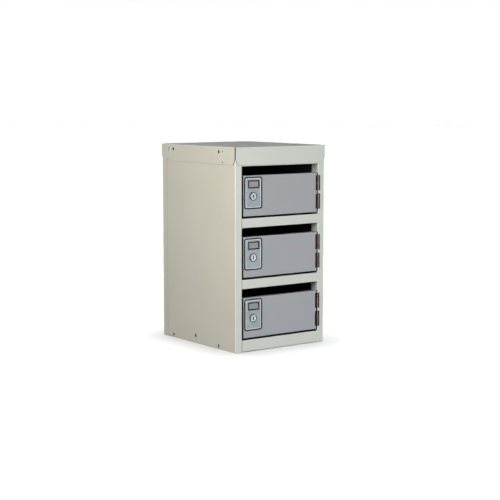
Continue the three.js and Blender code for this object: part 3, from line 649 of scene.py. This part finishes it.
def plinth_tray():
    rear, bottom, top = TRAY_HI.y, TRAY_LO.z, TRAY_HI.z
    corners = [(rear - BASE_RETURN, bottom), (rear, bottom), (rear, top), (FRONT, top), (FRONT, bottom),
               (FRONT + BASE_RETURN, bottom)]
    floor_sheet("plinth_tray", "base_tray", corners, top, rear)


def header_sheet():
    corners = [(RAIL_HI.y, RAIL_HI.z), (FRONT, RAIL_HI.z), (FRONT, RAIL_LO.z), (RAIL_HI.y, RAIL_LO.z)]
    sheet = soften(prism("header_sheet", folded(corners), "x", MIDDLE_SPAN))
    give(sheet, "root", "body_paint", BODY_PAINT, "header_rail")


# ---- Cap ----

CAP_SLIT = 2.1 * MM
SIDE_CHAMFER = (10 * MM, 16 * MM)   # along the skirt, and up it
FRONT_CHAMFER = (11 * MM, 13 * MM)
RELIEF_RADIUS = 2 * MM              # of the hole that ends each slit
RELIEF_DROP = 4 * MM


def skirt_corners(axis, ends, across, chamfer):
    """Slanted cuts off the two lower corners of a skirt that runs between two stations."""
    run, rise = chamfer
    bottom = CAP_LO.z
    cuts = []
    for end, inward in ((ends[0], 1), (ends[1], -1)):
        outline = [(end + inward * run, bottom), (end, bottom + rise), (end - inward * BEYOND, bottom + rise),
                   (end - inward * BEYOND, bottom - BEYOND), (end + inward * run, bottom - BEYOND)]
        cuts.append(prism("corner", outline, axis, across))
    return cuts


def cap_lid():
    """Lid with four folded skirts that don't meet at the corners, each slit ending in a relief hole."""
    lo, hi = CAP_LO, CAP_HI
    front_ends = (lo.x + CAP_SLIT, hi.x - CAP_SLIT)
    side_ends = (lo.y + CAP_SLIT, hi.y - CAP_SLIT)
    front_to_back = [(hi.y, lo.z), (hi.y, hi.z), (lo.y, hi.z), (lo.y, lo.z)]
    side_to_side = [(hi.x, lo.z), (hi.x, hi.z), (lo.x, hi.z), (lo.x, lo.z)]
    across_y = (lo.y - BEYOND, hi.y + BEYOND)
    across_x = (lo.x - BEYOND, hi.x + BEYOND)
    lid = prism("cap_lid", folded(front_to_back), "x", front_ends)
    cut(lid, *skirt_corners("y", front_ends, across_y, FRONT_CHAMFER))
    sides = prism("cap_sides", folded(side_to_side), "y", side_ends)
    cut(sides, *skirt_corners("x", side_ends, across_x, SIDE_CHAMFER))
    join(lid, sides)
    holes = cap_holes(-1) + cap_holes(1)
    for x in (lo.x, hi.x):
        for y in (lo.y, hi.y):
            z = (hi.z - RELIEF_DROP - RELIEF_RADIUS, hi.z - RELIEF_DROP + RELIEF_RADIUS)
            holes.append(prism("relief", circle((x, y), RELIEF_RADIUS, steps=20), "z", z))
    cut(lid, *holes)
    give(soften(lid, SMALL_EDGE), "root", "body_paint", BODY_PAINT, "top_cap")
    # Painted shade: under the lid, at its slit edges and in its holes.
    line(lid, PAINTED_SHADE_BLACK, is_under_lid)
    line(lid, PAINTED_SHADE_BLACK, is_hole_edge)


def is_under_lid(centre, normal):
    """The lid's inner faces, and the sheet's cut edges beside its corner slits, painted black as painted
    shade.
    """
    skin = SHEET / 2
    on_side = abs(normal.x) > 0.5 and abs(centre.x) > CAP_HI.x - skin
    on_end = abs(normal.y) > 0.5 and not CAP_LO.y + skin < centre.y < CAP_HI.y - skin
    return not on_side and not on_end and centre.z < CAP_HI.z - FOLD_RADIUS


# ---- Doors ----

def pan_core(name, lo, hi, inset):
    """A door's outer form, or at an inset of one sheet its inner form, with the folds meeting in a mitre."""
    upright = [(lo.x, hi.y), (lo.x, lo.y), (hi.x, lo.y), (hi.x, hi.y)]
    level = [(hi.y, hi.z), (lo.y, hi.z), (lo.y, lo.z), (hi.y, lo.z)]
    rear = BEYOND if inset else 0
    core = prism(name, extended(folded_skin(upright, inset), rear, 1), "z", shrunk((lo.z, hi.z), inset))
    across = prism("across", extended(folded_skin(level, inset), rear, 0), "x", shrunk((lo.x, hi.x), inset))
    return combine(core, [across], "INTERSECT")


def extended(skin, amount, index):
    """Moves a skin's two open ends back along y, which is the given member of each point."""
    moved = [list(point) for point in skin]
    moved[0][index] += amount
    moved[-1][index] += amount
    return [tuple(point) for point in moved]


def door_pan(number):
    """Pan folded from one sheet, with ground corners, a lock hole and a notch around each hinge."""
    lo, hi = DOOR_BOXES[number]
    pan = pan_core(f"door_pan_{number}", lo, hi, 0)
    cut(pan, pan_core("inner", lo, hi, SHEET))
    hole = prism("lock_hole", circle(lock_place(number), LOCK_HOLE_RADIUS, steps=40), "y",
                 around(FRONT, 2 * BEYOND))
    cut(pan, hole, *hinge_notches((HINGE_X - NOTCH, hi.x + BEYOND), (number,)))
    give(soften(pan), f"door_{number}", "door_paint", DOOR_PAINT, f"door_{number}")
    # All but the front sheet and upper flange is painted black as painted shade, so the gaps around the door
    # read dark.
    line(pan, PAINTED_SHADE_BLACK, lambda centre, normal: not is_door_face(centre, normal, hi.z))


def is_door_face(centre, normal, top):
    """The painted faces of a door: its front, the back of that, and its upper flange."""
    on_front_sheet = abs(normal.y) > 0.85 and centre.y < FRONT + 2 * SHEET
    return on_front_sheet or (normal.z > 0.3 and centre.z > top - FOLD_RADIUS)


# ---- Lock plates and labels ----

PLATE_CORNER = 5 * MM
PLATE_EDGE = 0.9 * MM
PLATE_SOFTENING = 0.15 * MM
RIM_WIDTH = 3.4 * MM
RIM_HEIGHT = 0.5 * MM
# Margins of the gasket around its plate; the wider right one stands partly for the plate's shadow.
GASKET = {"left": 3.2 * MM, "right": 4.5 * MM, "top": 2.9 * MM, "bottom": 3.2 * MM}
GASKET_THICKNESS = 1.3 * MM
GASKET_EDGE = 0.3 * MM
WINDOW_CORNER = 1.5 * MM
LABEL_CORNER = 1.2 * MM
LABEL_FLARE = 0.9 * MM        # how far the label frame's mouth is wider than its throat
CARD_CORNER = 0.6 * MM
CARD_EDGE = 0.1 * MM


def lock_place(number):
    """Where a lock's axis crosses the front: (x, z)."""
    x, _, z = spans(f"lock_housing_{number}")
    return (sum(x) / 2, sum(z) / 2)


def plate_tray(x, z, face):
    """What is cut away inside a plate's raised border."""
    bed_x, bed_z = shrunk(x, RIM_WIDTH), shrunk(z, RIM_WIDTH)
    corner = PLATE_CORNER - RIM_WIDTH / 2
    mouth = rounded(shrunk(bed_x, -RIM_HEIGHT), shrunk(bed_z, -RIM_HEIGHT), corner, steps=8)
    bed = rounded(bed_x, bed_z, corner - RIM_HEIGHT / 2, steps=8)
    return lofted("tray", "y", [(mouth, face - RIM_HEIGHT), (mouth, face), (bed, face + RIM_HEIGHT)])


def lock_escutcheon(number):
    """Satin plate with a raised border in lighter steel as a painted highlight, a window for the label and a
    hole for the lock.
    """
    x, y, z = spans(f"lock_plate_{number}")
    front = y[0]
    outline = rounded(x, z, PLATE_CORNER, steps=8)
    top = rounded(shrunk(x, PLATE_EDGE), shrunk(z, PLATE_EDGE), PLATE_CORNER - PLATE_EDGE, steps=8)
    plate = lofted(f"lock_escutcheon_{number}", "y",
                   [(top, front), (outline, front + PLATE_EDGE), (outline, y[1])])
    label_x, _, label_z = spans(f"label_bezel_{number}")
    window = rounded(shrunk(label_x, -GAP), shrunk(label_z, -GAP), WINDOW_CORNER)
    hole = circle(lock_place(number), LOCK_HOLE_RADIUS, steps=40)
    through = shrunk(y, -BEYOND)
    cut(plate, plate_tray(x, z, front), prism("window", window, "y", through),
        prism("hole", hole, "y", through))
    soften(plate, PLATE_SOFTENING)
    give(plate, f"door_{number}", "satin_steel", SATIN_STEEL, f"lock_plate_{number}")
    # Painted highlight: the raised border takes a lighter steel.
    line(plate, RIM_HIGHLIGHT_STEEL, lambda centre, normal: centre.y < front + 0.9 * RIM_HEIGHT)
    plate_gasket(number, x, z)


def plate_gasket(number, x, z):
    """Black gasket between a plate and its door, which shows as a dark line around the plate; its wider right
    margin adds painted shade.
    """
    wide_x = (x[0] - GASKET["left"], x[1] + GASKET["right"])
    wide_z = (z[0] - GASKET["bottom"], z[1] + GASKET["top"])
    surround = rounded(wide_x, wide_z, PLATE_CORNER + GASKET["top"], steps=8)
    gasket = prism(f"plate_gasket_{number}", surround, "y", (FRONT - GASKET_THICKNESS, FRONT))
    inside = rounded(shrunk(x, -FIT), shrunk(z, -FIT), PLATE_CORNER, steps=8)
    cut(gasket, prism("inside", inside, "y", around(FRONT, 2 * BEYOND)))
    soften(gasket, GASKET_EDGE, segments=3)
    give(gasket, f"door_{number}", "black_plastic", BLACK_PLASTIC)


def label_frame(number):
    """Black frame around the card, bevelled inwards like a picture frame, and the blank card."""
    x, y, z = spans(f"label_bezel_{number}")
    card_x, card_y, card_z = spans(f"label_card_{number}")
    outer = rounded(x, z, LABEL_CORNER)
    edge = rounded(shrunk(x, EDGE), shrunk(z, EDGE), LABEL_CORNER - EDGE)
    rim = lofted(f"label_frame_{number}", "y", [(edge, y[0]), (outer, y[0] + EDGE), (outer, y[1])])
    open_x, open_z = shrunk(card_x, -GAP), shrunk(card_z, -GAP)
    mouth = rounded(shrunk(open_x, -LABEL_FLARE), shrunk(open_z, -LABEL_FLARE), LABEL_CORNER)
    throat = rounded(open_x, open_z, CARD_CORNER)
    cut(rim, lofted("opening", "y", [(mouth, y[0] - HAIR), (throat, card_y[0]), (throat, y[1] + BEYOND)]))
    soften(rim, FINE_EDGE)
    give(rim, f"door_{number}", "black_plastic", BLACK_PLASTIC, f"label_bezel_{number}")
    card = rounded(card_x, card_z, CARD_CORNER)
    slip = soften(prism(f"label_slip_{number}", card, "y", card_y), CARD_EDGE)
    give(slip, f"door_{number}", "card", CARD, f"label_card_{number}")


# ---- Locks ----

LOCK_HOLE_RADIUS = 10 * MM
BARREL_RADIUS = 9 * MM
BORE_RADIUS = 6.8 * MM
BORE_CHAMFER = 0.3 * MM
DISC_RADIUS = 10.3 * MM
DISC_SETBACK = 1.1 * MM       # of the bright disc, behind the ring around it
DISC_DEPTH = 0.6 * MM
SHOULDER_RADIUS = 11.2 * MM   # of the disc's base, which the ring sits on
RING_RADIUS = 12 * MM
RING_EDGE = 0.4 * MM
THREAD_PITCH = 1.2 * MM
THREAD_DEPTH = 0.45 * MM
THREAD_ENDS = 1.5 * MM        # plain length at each end of the thread
NUT_CHAMFER = 1 * MM


def lock_rosette(number, place, seat):
    """Bright disc on a shoulder, and the threaded barrel behind it."""
    lo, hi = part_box(f"lock_housing_{number}")
    face = lo.y + DISC_SETBACK
    ledge = face + DISC_DEPTH
    profile = [(BORE_RADIUS, face + BORE_CHAMFER), (BORE_RADIUS + BORE_CHAMFER, face),
               (DISC_RADIUS - SMALL_EDGE, face), (DISC_RADIUS, face + SMALL_EDGE), (DISC_RADIUS, ledge),
               (SHOULDER_RADIUS, ledge), (SHOULDER_RADIUS, seat), (BARREL_RADIUS, seat)]
    start = FRONT + THREAD_ENDS
    turns = int((hi.y - THREAD_ENDS - start) / THREAD_PITCH)
    for k in range(turns):
        crest = start + k * THREAD_PITCH
        profile += [(BARREL_RADIUS, crest), (BARREL_RADIUS - THREAD_DEPTH, crest + THREAD_PITCH / 2)]
    profile += [(BARREL_RADIUS, start + turns * THREAD_PITCH), (BARREL_RADIUS, hi.y), (BORE_RADIUS, hi.y)]
    rosette = smooth(turned(f"lock_rosette_{number}", profile, "y", place, steps=64))
    give(rosette, f"door_{number}", "chrome", LOCK_FACE, f"lock_housing_{number}")


def painted_shade_ring(number, place, seat):
    """Black ring of painted shade, standing a little ahead of the disc inside it, with a bright band around
    it.
    """
    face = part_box(f"lock_housing_{number}")[0].y
    ledge = face + DISC_SETBACK + DISC_DEPTH - FIT
    inner = DISC_RADIUS + FIT
    profile = [(inner, face + BORE_CHAMFER), (DISC_RADIUS + BORE_CHAMFER, face),
               (RING_RADIUS - RING_EDGE, face), (RING_RADIUS, face + RING_EDGE), (RING_RADIUS, seat),
               (SHOULDER_RADIUS + FIT, seat), (SHOULDER_RADIUS + FIT, ledge), (inner, ledge)]
    ring = smooth(turned(f"lock_dust_ring_{number}", profile, "y", place, steps=64), 60)
    give(ring, f"door_{number}", "black_plastic", BLACK_PLASTIC)
    line(ring, LOCK_FACE, lambda centre, normal: is_ring_wall(centre, place))


def is_ring_wall(centre, place):
    """The outer wall of the shade ring, which is the bright band pressed over it."""
    return math.hypot(centre.x - place[0], centre.z - place[1]) > RING_RADIUS - RING_EDGE / 3


def barrel_nut(number, place):
    """Hexagonal nut with chamfered corners."""
    x, y, _ = spans(f"lock_nut_{number}")
    radius = (x[1] - x[0]) / 2
    nut = prism(f"barrel_nut_{number}", circle(place, radius, steps=6), "y", y)
    narrow, wide = radius - NUT_CHAMFER, radius + GAP
    near, far = shrunk(y, -GAP)
    low, high = shrunk(y, NUT_CHAMFER)
    profile = [(0, near), (narrow, near), (wide, low), (wide, high), (narrow, far), (0, far)]
    combine(nut, [turned("chamfer", profile, "y", place)], "INTERSECT")
    thread = circle(place, BARREL_RADIUS + GAP, steps=40)
    cut(nut, prism("thread", thread, "y", shrunk(y, -BEYOND)))
    soften(nut, SMALL_EDGE)
    give(nut, f"door_{number}", "zinc", ZINC, f"lock_nut_{number}")


PLUG_RADIUS = 6.5 * MM
PLUG_DISH = 0.35 * MM
PLUG_RIM = ((1.6 * MM, 0.21 * MM), (0.7 * MM, 0), (0.25 * MM, 0.05 * MM), (0, 0.4 * MM))  # inwards, back
KEYWAY = (3.2 * MM, 9.4 * MM, 12 * MM)       # width, height and depth
KEYWAY_CORNER = 0.8 * MM
WARD = (0.95 * KEYWAY[0], 0.22 * KEYWAY[1])  # reach from the keyway's middle, and height
SHADOW_DEPTH = 0.6 * MM                      # the keyway's walls are dark from here inwards
TAIL = 6 * MM                                # side of the plug's square tail
TAIL_PLAY = 0.6 * MM
CAM_CORNER = 4 * MM
CAM_EDGE = 0.4 * MM
SCREW_HEAD = ((4.6 * MM, 0), (4.6 * MM, 0.8 * MM), (3.6 * MM, 2.2 * MM), (1.8 * MM, 2.8 * MM), (0, 3 * MM))
CROSS = (1 * MM, 5 * MM)                     # width and length of the arms of a screw's recess
CROSS_FLOOR = 1.4 * MM


def key_plug(number, place):
    """Plug with a dished face, a warded keyway and a square tail."""
    lo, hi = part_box(f"lock_plug_{number}")
    x, z = place
    face = lo.y + DISC_SETBACK / 2
    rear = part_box(f"lock_cam_{number}")[0].y - GAP
    profile = [(0, face + PLUG_DISH)]
    profile += [(PLUG_RADIUS - inwards, face + back) for inwards, back in PLUG_RIM]
    profile += [(PLUG_RADIUS, rear), (0, rear)]
    plug = turned(f"key_plug_{number}", profile, "y", place)
    y = (face - BEYOND, face + KEYWAY[2])
    slot = rounded(around(x, KEYWAY[0]), around(z, KEYWAY[1]), KEYWAY_CORNER)
    ward = rounded((x, x + WARD[0]), around(z, WARD[1]), KEYWAY_CORNER / 2)
    join(plug, block("tail", around(x, TAIL), (rear - GAP, hi.y), around(z, TAIL)))
    cut(plug, prism("keyway", slot, "y", y), prism("ward", ward, "y", y))
    soften(plug, FINE_EDGE)
    give(plug, f"lock_{number}", "chrome", LOCK_FACE, f"lock_plug_{number}")
    # The keyway's walls are painted black as painted shade.
    line(plug, PAINTED_SHADE_BLACK, lambda centre, normal: is_in_keyway(centre, place, face))


def is_in_keyway(centre, place, face):
    """The keyway's walls and floor, which lie inside the plug and clear of its dished face."""
    across, up = abs(centre.x - place[0]), abs(centre.z - place[1])
    return across < KEYWAY[0] and up < KEYWAY[1] / 2 + EDGE and centre.y > face + SHADOW_DEPTH


def latch_cam(number, place):
    """Flat cam with a rounded arm, on the plug's square tail."""
    x, y, z = spans(f"lock_cam_{number}")
    cam = prism(f"latch_cam_{number}", rounded(x, z, CAM_CORNER, steps=8), "y", y)
    hole_x, hole_z = [around(middle, TAIL + TAIL_PLAY) for middle in place]
    cut(cam, block("square", hole_x, shrunk(y, -BEYOND), hole_z))
    soften(cam, CAM_EDGE)
    give(cam, f"lock_{number}", "zinc", ZINC, f"lock_cam_{number}")


def cam_screw(number, place):
    """Round-headed screw with a cross recess, which holds the cam on the plug's tail."""
    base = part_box(f"lock_plug_{number}")[1].y
    profile = [(0, base)] + [(radius, base + height) for radius, height in SCREW_HEAD]
    screw = turned(f"cam_screw_{number}", profile, "y", place, steps=40)
    arms = [block("arm", around(place[0], wide), (base + CROSS_FLOOR, base + BEYOND), around(place[1], high))
            for wide, high in (CROSS, CROSS[::-1])]
    cut(screw, *arms)
    soften(screw, FINE_EDGE)
    give(screw, f"lock_{number}", "zinc", ZINC)


def lock(number):
    place = lock_place(number)
    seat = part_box(f"lock_plate_{number}")[0].y - GAP
    lock_rosette(number, place, seat)
    painted_shade_ring(number, place, seat)
    barrel_nut(number, place)
    key_plug(number, place)
    latch_cam(number, place)
    cam_screw(number, place)


# ---- Hinges ----

KNUCKLE_RADIUS = 4.75 * MM
PIN_RADIUS = 2.2 * MM
PIN_CLEARANCE = 0.15 * MM
END_KNUCKLE = 10.5 * MM
KNUCKLE_GAP = 0.4 * MM
LEAF_SETBACK = 0.6 * MM      # the leaf's plate starts this far behind its knuckles
KNUCKLE_EDGE = 0.45 * MM
LEAF = 2 * MM                # thickness
TAB_CLEARANCE = 0.2 * MM     # between a pin and the tabs that join the knuckles to their leaf
PIN_CROWN = 0.5 * MM
PIN_DOME = ((1, 0), (0.85, 0.55), (0.5, 0.85), (0, 1))   # share of the radius, share of the crown


def knuckle(z):
    """Rolled knuckle, a thick ring with rounded rims."""
    bore = PIN_RADIUS + PIN_CLEARANCE
    profile = [(bore, z[0]), (KNUCKLE_RADIUS - KNUCKLE_EDGE, z[0]), (KNUCKLE_RADIUS, z[0] + KNUCKLE_EDGE),
               (KNUCKLE_RADIUS, z[1] - KNUCKLE_EDGE), (KNUCKLE_RADIUS - KNUCKLE_EDGE, z[1]), (bore, z[1])]
    return turned("knuckle", profile, "z", (HINGE_X, FRONT), steps=40)


def plate_span(node):
    """Where a leaf's plate lies across the gap: behind the stile's return, or behind the door's edge."""
    if node.startswith("frame"):
        inner = OPENING_X + SHEET + GAP
        return inner, inner + LEAF
    outer = DOOR_BOXES[1][1].x - SHEET - GAP
    return outer - LEAF, outer


def leaf(name, node, body, spans):
    """One leaf: its plate, which reaches back along the door or the stile, and its knuckles."""
    lo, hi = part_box(node)
    across = plate_span(node)
    plate_front = FRONT + KNUCKLE_RADIUS + LEAF_SETBACK
    plate = block(name, across, (plate_front, hi.y), (lo.z, hi.z))
    tab_y = (FRONT + PIN_RADIUS + TAB_CLEARANCE, plate_front + GAP)
    parts = []
    for span in spans:
        parts.append(knuckle(span))
        parts.append(block("tab", across, tab_y, span))
    join(plate, *parts)
    soften(plate, SMALL_EDGE, angle=50)
    give(plate, body, "hinge_steel", HINGE_STEEL, node)


def hinge_pin(number, level):
    """Pin with a domed end above and below."""
    lo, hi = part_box(f"hinge_pin_{number}_{level}")
    profile = [(PIN_RADIUS * share, lo.z + PIN_CROWN * (1 - rise)) for share, rise in reversed(PIN_DOME)]
    profile += [(PIN_RADIUS * share, hi.z - PIN_CROWN * (1 - rise)) for share, rise in PIN_DOME]
    pin = smooth(turned(f"domed_pin_{number}_{level}", profile, "z", (HINGE_X, FRONT), steps=40))
    give(pin, "root", "hinge_steel", HINGE_STEEL, f"hinge_pin_{number}_{level}")


def hinge(number, level):
    """Two outer knuckles on the frame's leaf, the middle one on the door's, and the pin through them."""
    lo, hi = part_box(f"frame_hinge_leaf_{number}_{level}")
    ends = [(lo.z, lo.z + END_KNUCKLE), (hi.z - END_KNUCKLE, hi.z)]
    middle = [(lo.z + END_KNUCKLE + KNUCKLE_GAP, hi.z - END_KNUCKLE - KNUCKLE_GAP)]
    leaf(f"frame_knuckles_{number}_{level}", f"frame_hinge_leaf_{number}_{level}", "root", ends)
    leaf(f"door_knuckles_{number}_{level}", f"door_hinge_leaf_{number}_{level}", f"door_{number}", middle)
    hinge_pin(number, level)


# ---- Charging equipment ----

PORT = (13 * MM, 5.4 * MM, 12 * MM)   # USB port width, height and depth
PORT_SPACING = 22 * MM
OUTLET_PLATE_DEPTH = 3 * MM
OUTLET_CORNER = 5 * MM
OUTLET_EDGE = 0.3 * MM
OUTLET_RIM = 1.2 * MM                 # slope around the plate's face
OUTLET_LAP = 1 * MM
OUTLET_BODY = (50 * MM, 26 * MM)
PORT_CORNER = 0.7 * MM
PORT_WALL = 0.4 * MM
PORT_FLOOR = 0.8 * MM
LINER_INSET = 0.2 * MM
LINER_EDGE = 0.08 * MM
TONGUE = (10.6 * MM, 1.3 * MM)        # width and height
TONGUE_UP = 0.9 * MM                  # above the port's middle
TONGUE_INSET = 2 * MM


def charge_outlet(number):
    """Outlet plate with a domed edge and two USB ports."""
    wide, (face, rear), high = spans(f"charge_socket_{number}")
    x, z = sum(wide) / 2, sum(high) / 2
    seat = face + OUTLET_PLATE_DEPTH
    outer = rounded(wide, high, OUTLET_CORNER, steps=8)
    top = rounded(shrunk(wide, OUTLET_RIM), shrunk(high, OUTLET_RIM), OUTLET_CORNER - OUTLET_RIM, steps=8)
    outlet = lofted(f"charge_outlet_{number}", "y", [(top, face), (outer, face + OUTLET_RIM), (outer, seat)])
    box_x, box_z = around(x, OUTLET_BODY[0]), around(z, OUTLET_BODY[1])
    join(outlet, block("body", box_x, (seat - OUTLET_LAP, rear), box_z))
    ports = {"left": x - PORT_SPACING / 2, "right": x + PORT_SPACING / 2}
    mouths = [rounded(around(centre, PORT[0]), around(z, PORT[1]), PORT_CORNER) for centre in ports.values()]
    cut(outlet, *[prism("port", mouth, "y", (face - BEYOND, face + PORT[2])) for mouth in mouths])
    soften(outlet, OUTLET_EDGE)
    give(outlet, "root", "black_plastic", BLACK_PLASTIC, f"charge_socket_{number}")
    for side, centre in ports.items():
        usb_port(f"{number}_{side}", centre, z, face)


def usb_port(label, x, z, face):
    """Metal liner of a USB port, and the tongue that carries its contacts."""
    bottom = face + PORT[2]
    shell = rounded(around(x, PORT[0] - 2 * FIT), around(z, PORT[1] - 2 * FIT), PORT_CORNER - FIT)
    liner = prism(f"usb_shell_{label}", shell, "y", (face + LINER_INSET, bottom - LINER_INSET))
    hollow = rounded(around(x, PORT[0] - 2 * PORT_WALL), around(z, PORT[1] - 2 * PORT_WALL), PORT_WALL)
    cut(liner, prism("hollow", hollow, "y", (face - BEYOND, bottom - PORT_FLOOR)))
    soften(liner, LINER_EDGE)
    give(liner, "root", "chrome", CHROME)
    tongue_y = (face + TONGUE_INSET, bottom - PORT_FLOOR)
    tip = block(f"usb_tongue_{label}", around(x, TONGUE[0]), tongue_y, around(z + TONGUE_UP, TONGUE[1]))
    soften(tip)
    give(tip, "root", "black_plastic", CONTACT_WHITE)


def finish_cad_nodes():
    """Materials for the CAD nodes that stay in view."""
    # The rear partition is painted black as painted shade.
    finishes = {"rear_partition": PAINTED_SHADE_BLACK, "power_supply": BLACK_PLASTIC, "mains_inlet": BLACK_PLASTIC,
                "inlet_lead": CABLE_JACKET}
    finishes.update({f"charge_lead_{number}": CABLE_JACKET for number in NUMBERS})
    for node, material in finishes.items():
        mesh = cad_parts[node].data
        mesh.materials.clear()
        mesh.materials.append(material)


side_shell(-1)
side_shell(1)
back_shell()
plinth_tray()
shelf_sheet("upper_shelf")
shelf_sheet("lower_shelf")
header_sheet()
cap_lid()
for number in NUMBERS:
    door_pan(number)
    lock_escutcheon(number)
    label_frame(number)
    lock(number)
    charge_outlet(number)
    for level in LEVELS:
        hinge(number, level)
finish_cad_nodes()


# ---- Stage, lights and camera ----

FLOOR_RADIUS = 30
FLOOR_BOTTOM, FLOOR_TOP = -0.02, -0.0002
BACKDROP_RADIUS = 28
BACKDROP_HEIGHT = 40
BACKDROP_THICKNESS = 0.1
FLOOR_LIGHT = 3.8
FLOOR_LIGHT_ANGLE = 25              # degrees
WHITE = (1.0, 1.0, 1.0)
UPPER_SKY = (0.062, 0.078, 0.086)
LOWER_SKY = (0.13, 0.12, 0.105)
BAND_TOP = (0.072, 0.09)            # heights of a direction where the white band fades out
BAND_BOTTOM = (-0.04, -0.06)
LIGHTS = (   # name, azimuth and elevation in degrees, distance, size, power in watts, colour
    ("front", 29, -7, 3.0, 1.8, 50, (0.855, 0.95, 1.0)),
    ("left_key", -61, 21, 1.8, 0.9, 26, (1.0, 0.955, 0.865)),
    ("rear", 150, 12, 3.2, 2.0, 14, WHITE),
    ("behind", 170, -4, 3.0, 1.2, 26, WHITE),
    ("right", 98, 4, 3.0, 1.2, 22, WHITE),
)


def floor():
    """Plain pale floor. It sends the object no light, whose own lights stand in for a studio sweep."""
    ground = prism("floor", circle((0, 0), FLOOR_RADIUS, steps=96), "z", (FLOOR_BOTTOM, FLOOR_TOP))
    material, tree, shader = new_material("pale_floor")
    tone = mix(tree, noise(tree, 1.5, 2), (0.80, 0.80, 0.80), (0.82, 0.82, 0.82))
    tree.links.new(tone, shader.inputs["Base Color"])
    shader.inputs["Roughness"].default_value = 0.9
    shader.inputs["Specular IOR Level"].default_value = 0.1
    ground.data.materials.append(material)
    ground.visible_diffuse = False
    ground.visible_glossy = False
    return ground


def backdrop():
    """White paper wall around the floor. It is only to be seen, so it sends the object no light."""
    inner, outer = BACKDROP_RADIUS, BACKDROP_RADIUS + BACKDROP_THICKNESS
    wall = turned("backdrop", [(inner, 0), (outer, 0), (outer, BACKDROP_HEIGHT), (inner, BACKDROP_HEIGHT)],
                  "z", (0, 0), steps=96)
    material, tree, shader = new_material("white_paper")
    shader.inputs["Base Color"].default_value = (0, 0, 0, 1)
    shader.inputs["Emission Strength"].default_value = 1
    tone = mix(tree, noise(tree, 1.5, 2), (0.99, 0.99, 0.99), WHITE)
    tree.links.new(tone, shader.inputs["Emission Color"])
    wall.data.materials.append(material)
    for ray in ("diffuse", "glossy", "transmission", "shadow"):
        setattr(wall, "visible_" + ray, False)


def sky():
    """Light of the studio around: a white band at the horizon, grey above and a weak warm bounce below."""
    world = bpy.data.worlds.new("studio")
    bpy.context.scene.world = world
    world.use_nodes = True
    tree = world.node_tree
    direction = add_node(tree, "ShaderNodeTexCoord").outputs["Generated"]
    height = add_node(tree, "ShaderNodeSeparateXYZ", {"Vector": direction}).outputs["Z"]
    upper = mix(tree, ramp(tree, height, *BAND_TOP), WHITE, UPPER_SKY)
    whole = mix(tree, ramp(tree, height, *BAND_BOTTOM), upper, LOWER_SKY)
    tree.links.new(whole, tree.nodes["Background"].inputs["Color"])


def link_light(light, name, ground, state):
    """Lets a light reach only the floor, or else ignore it, so that it doesn't block the light either."""
    linked = bpy.data.collections.new(name)
    linked.objects.link(ground)
    linked.collection_objects[0].light_linking.link_state = state
    light.light_linking.receiver_collection = linked
    if state == "EXCLUDE":
        light.light_linking.blocker_collection = linked


def new_light(name, kind, power):
    data = bpy.data.lights.new(name, kind)
    data.energy = power
    light = bpy.data.objects.new(name, data)
    bpy.context.scene.collection.objects.link(light)
    return light


def floor_light(ground):
    """Broad light from straight above that only whitens the floor."""
    light = new_light("floor_light", "SUN", FLOOR_LIGHT)
    light.data.angle = math.radians(FLOOR_LIGHT_ANGLE)
    link_light(light, "floor_only", ground, "INCLUDE")


def soft_light(name, azimuth, elevation, distance, size, power, colour):
    """A square area light that faces the object, placed by its direction from it."""
    light = new_light(name, "AREA", power)
    light.data.shape = "SQUARE"
    light.data.size = size
    light.data.color = colour
    aim(light, LIGHT_AIM, polar(azimuth, elevation), distance)
    link_light(light, name + "_reach", GROUND, "EXCLUDE")


def aim(viewer, target, away, distance):
    """Puts a light or camera some way off in a direction from its target, and turns it to the target."""
    viewer.location = target + away * distance
    viewer.rotation_euler = (-away).to_track_quat("-Z", "Y").to_euler()


def polar(azimuth, elevation):
    """Direction towards the viewer: azimuth 0 is in front of the doors, and positive is to their right."""
    a, e = math.radians(azimuth), math.radians(elevation)
    return Vector((math.sin(a) * math.cos(e), -math.cos(a) * math.cos(e), math.sin(e)))


LIGHT_AIM = Vector((0, 0, CAP_HI.z / 2))
GROUND = floor()
floor_light(GROUND)
backdrop()
sky()
for light in LIGHTS:
    soft_light(*light)

CAMERA_AIM = Vector((0.0170, -0.0159, 0.2744))
CAMERA_DISTANCE = 4.0405
CAMERA_AZIMUTH = -36.23
CAMERA_ELEVATION = 6.79
CAMERA_LENS = 94.36


def camera():
    data = bpy.data.cameras.new("camera")
    data.lens = CAMERA_LENS
    data.sensor_width = 36
    viewer = bpy.data.objects.new("camera", data)
    bpy.context.scene.collection.objects.link(viewer)
    aim(viewer, CAMERA_AIM, polar(CAMERA_AZIMUTH, CAMERA_ELEVATION), CAMERA_DISTANCE)
    bpy.context.scene.camera = viewer


camera()
bpy.context.scene.view_settings.view_transform = "Standard"
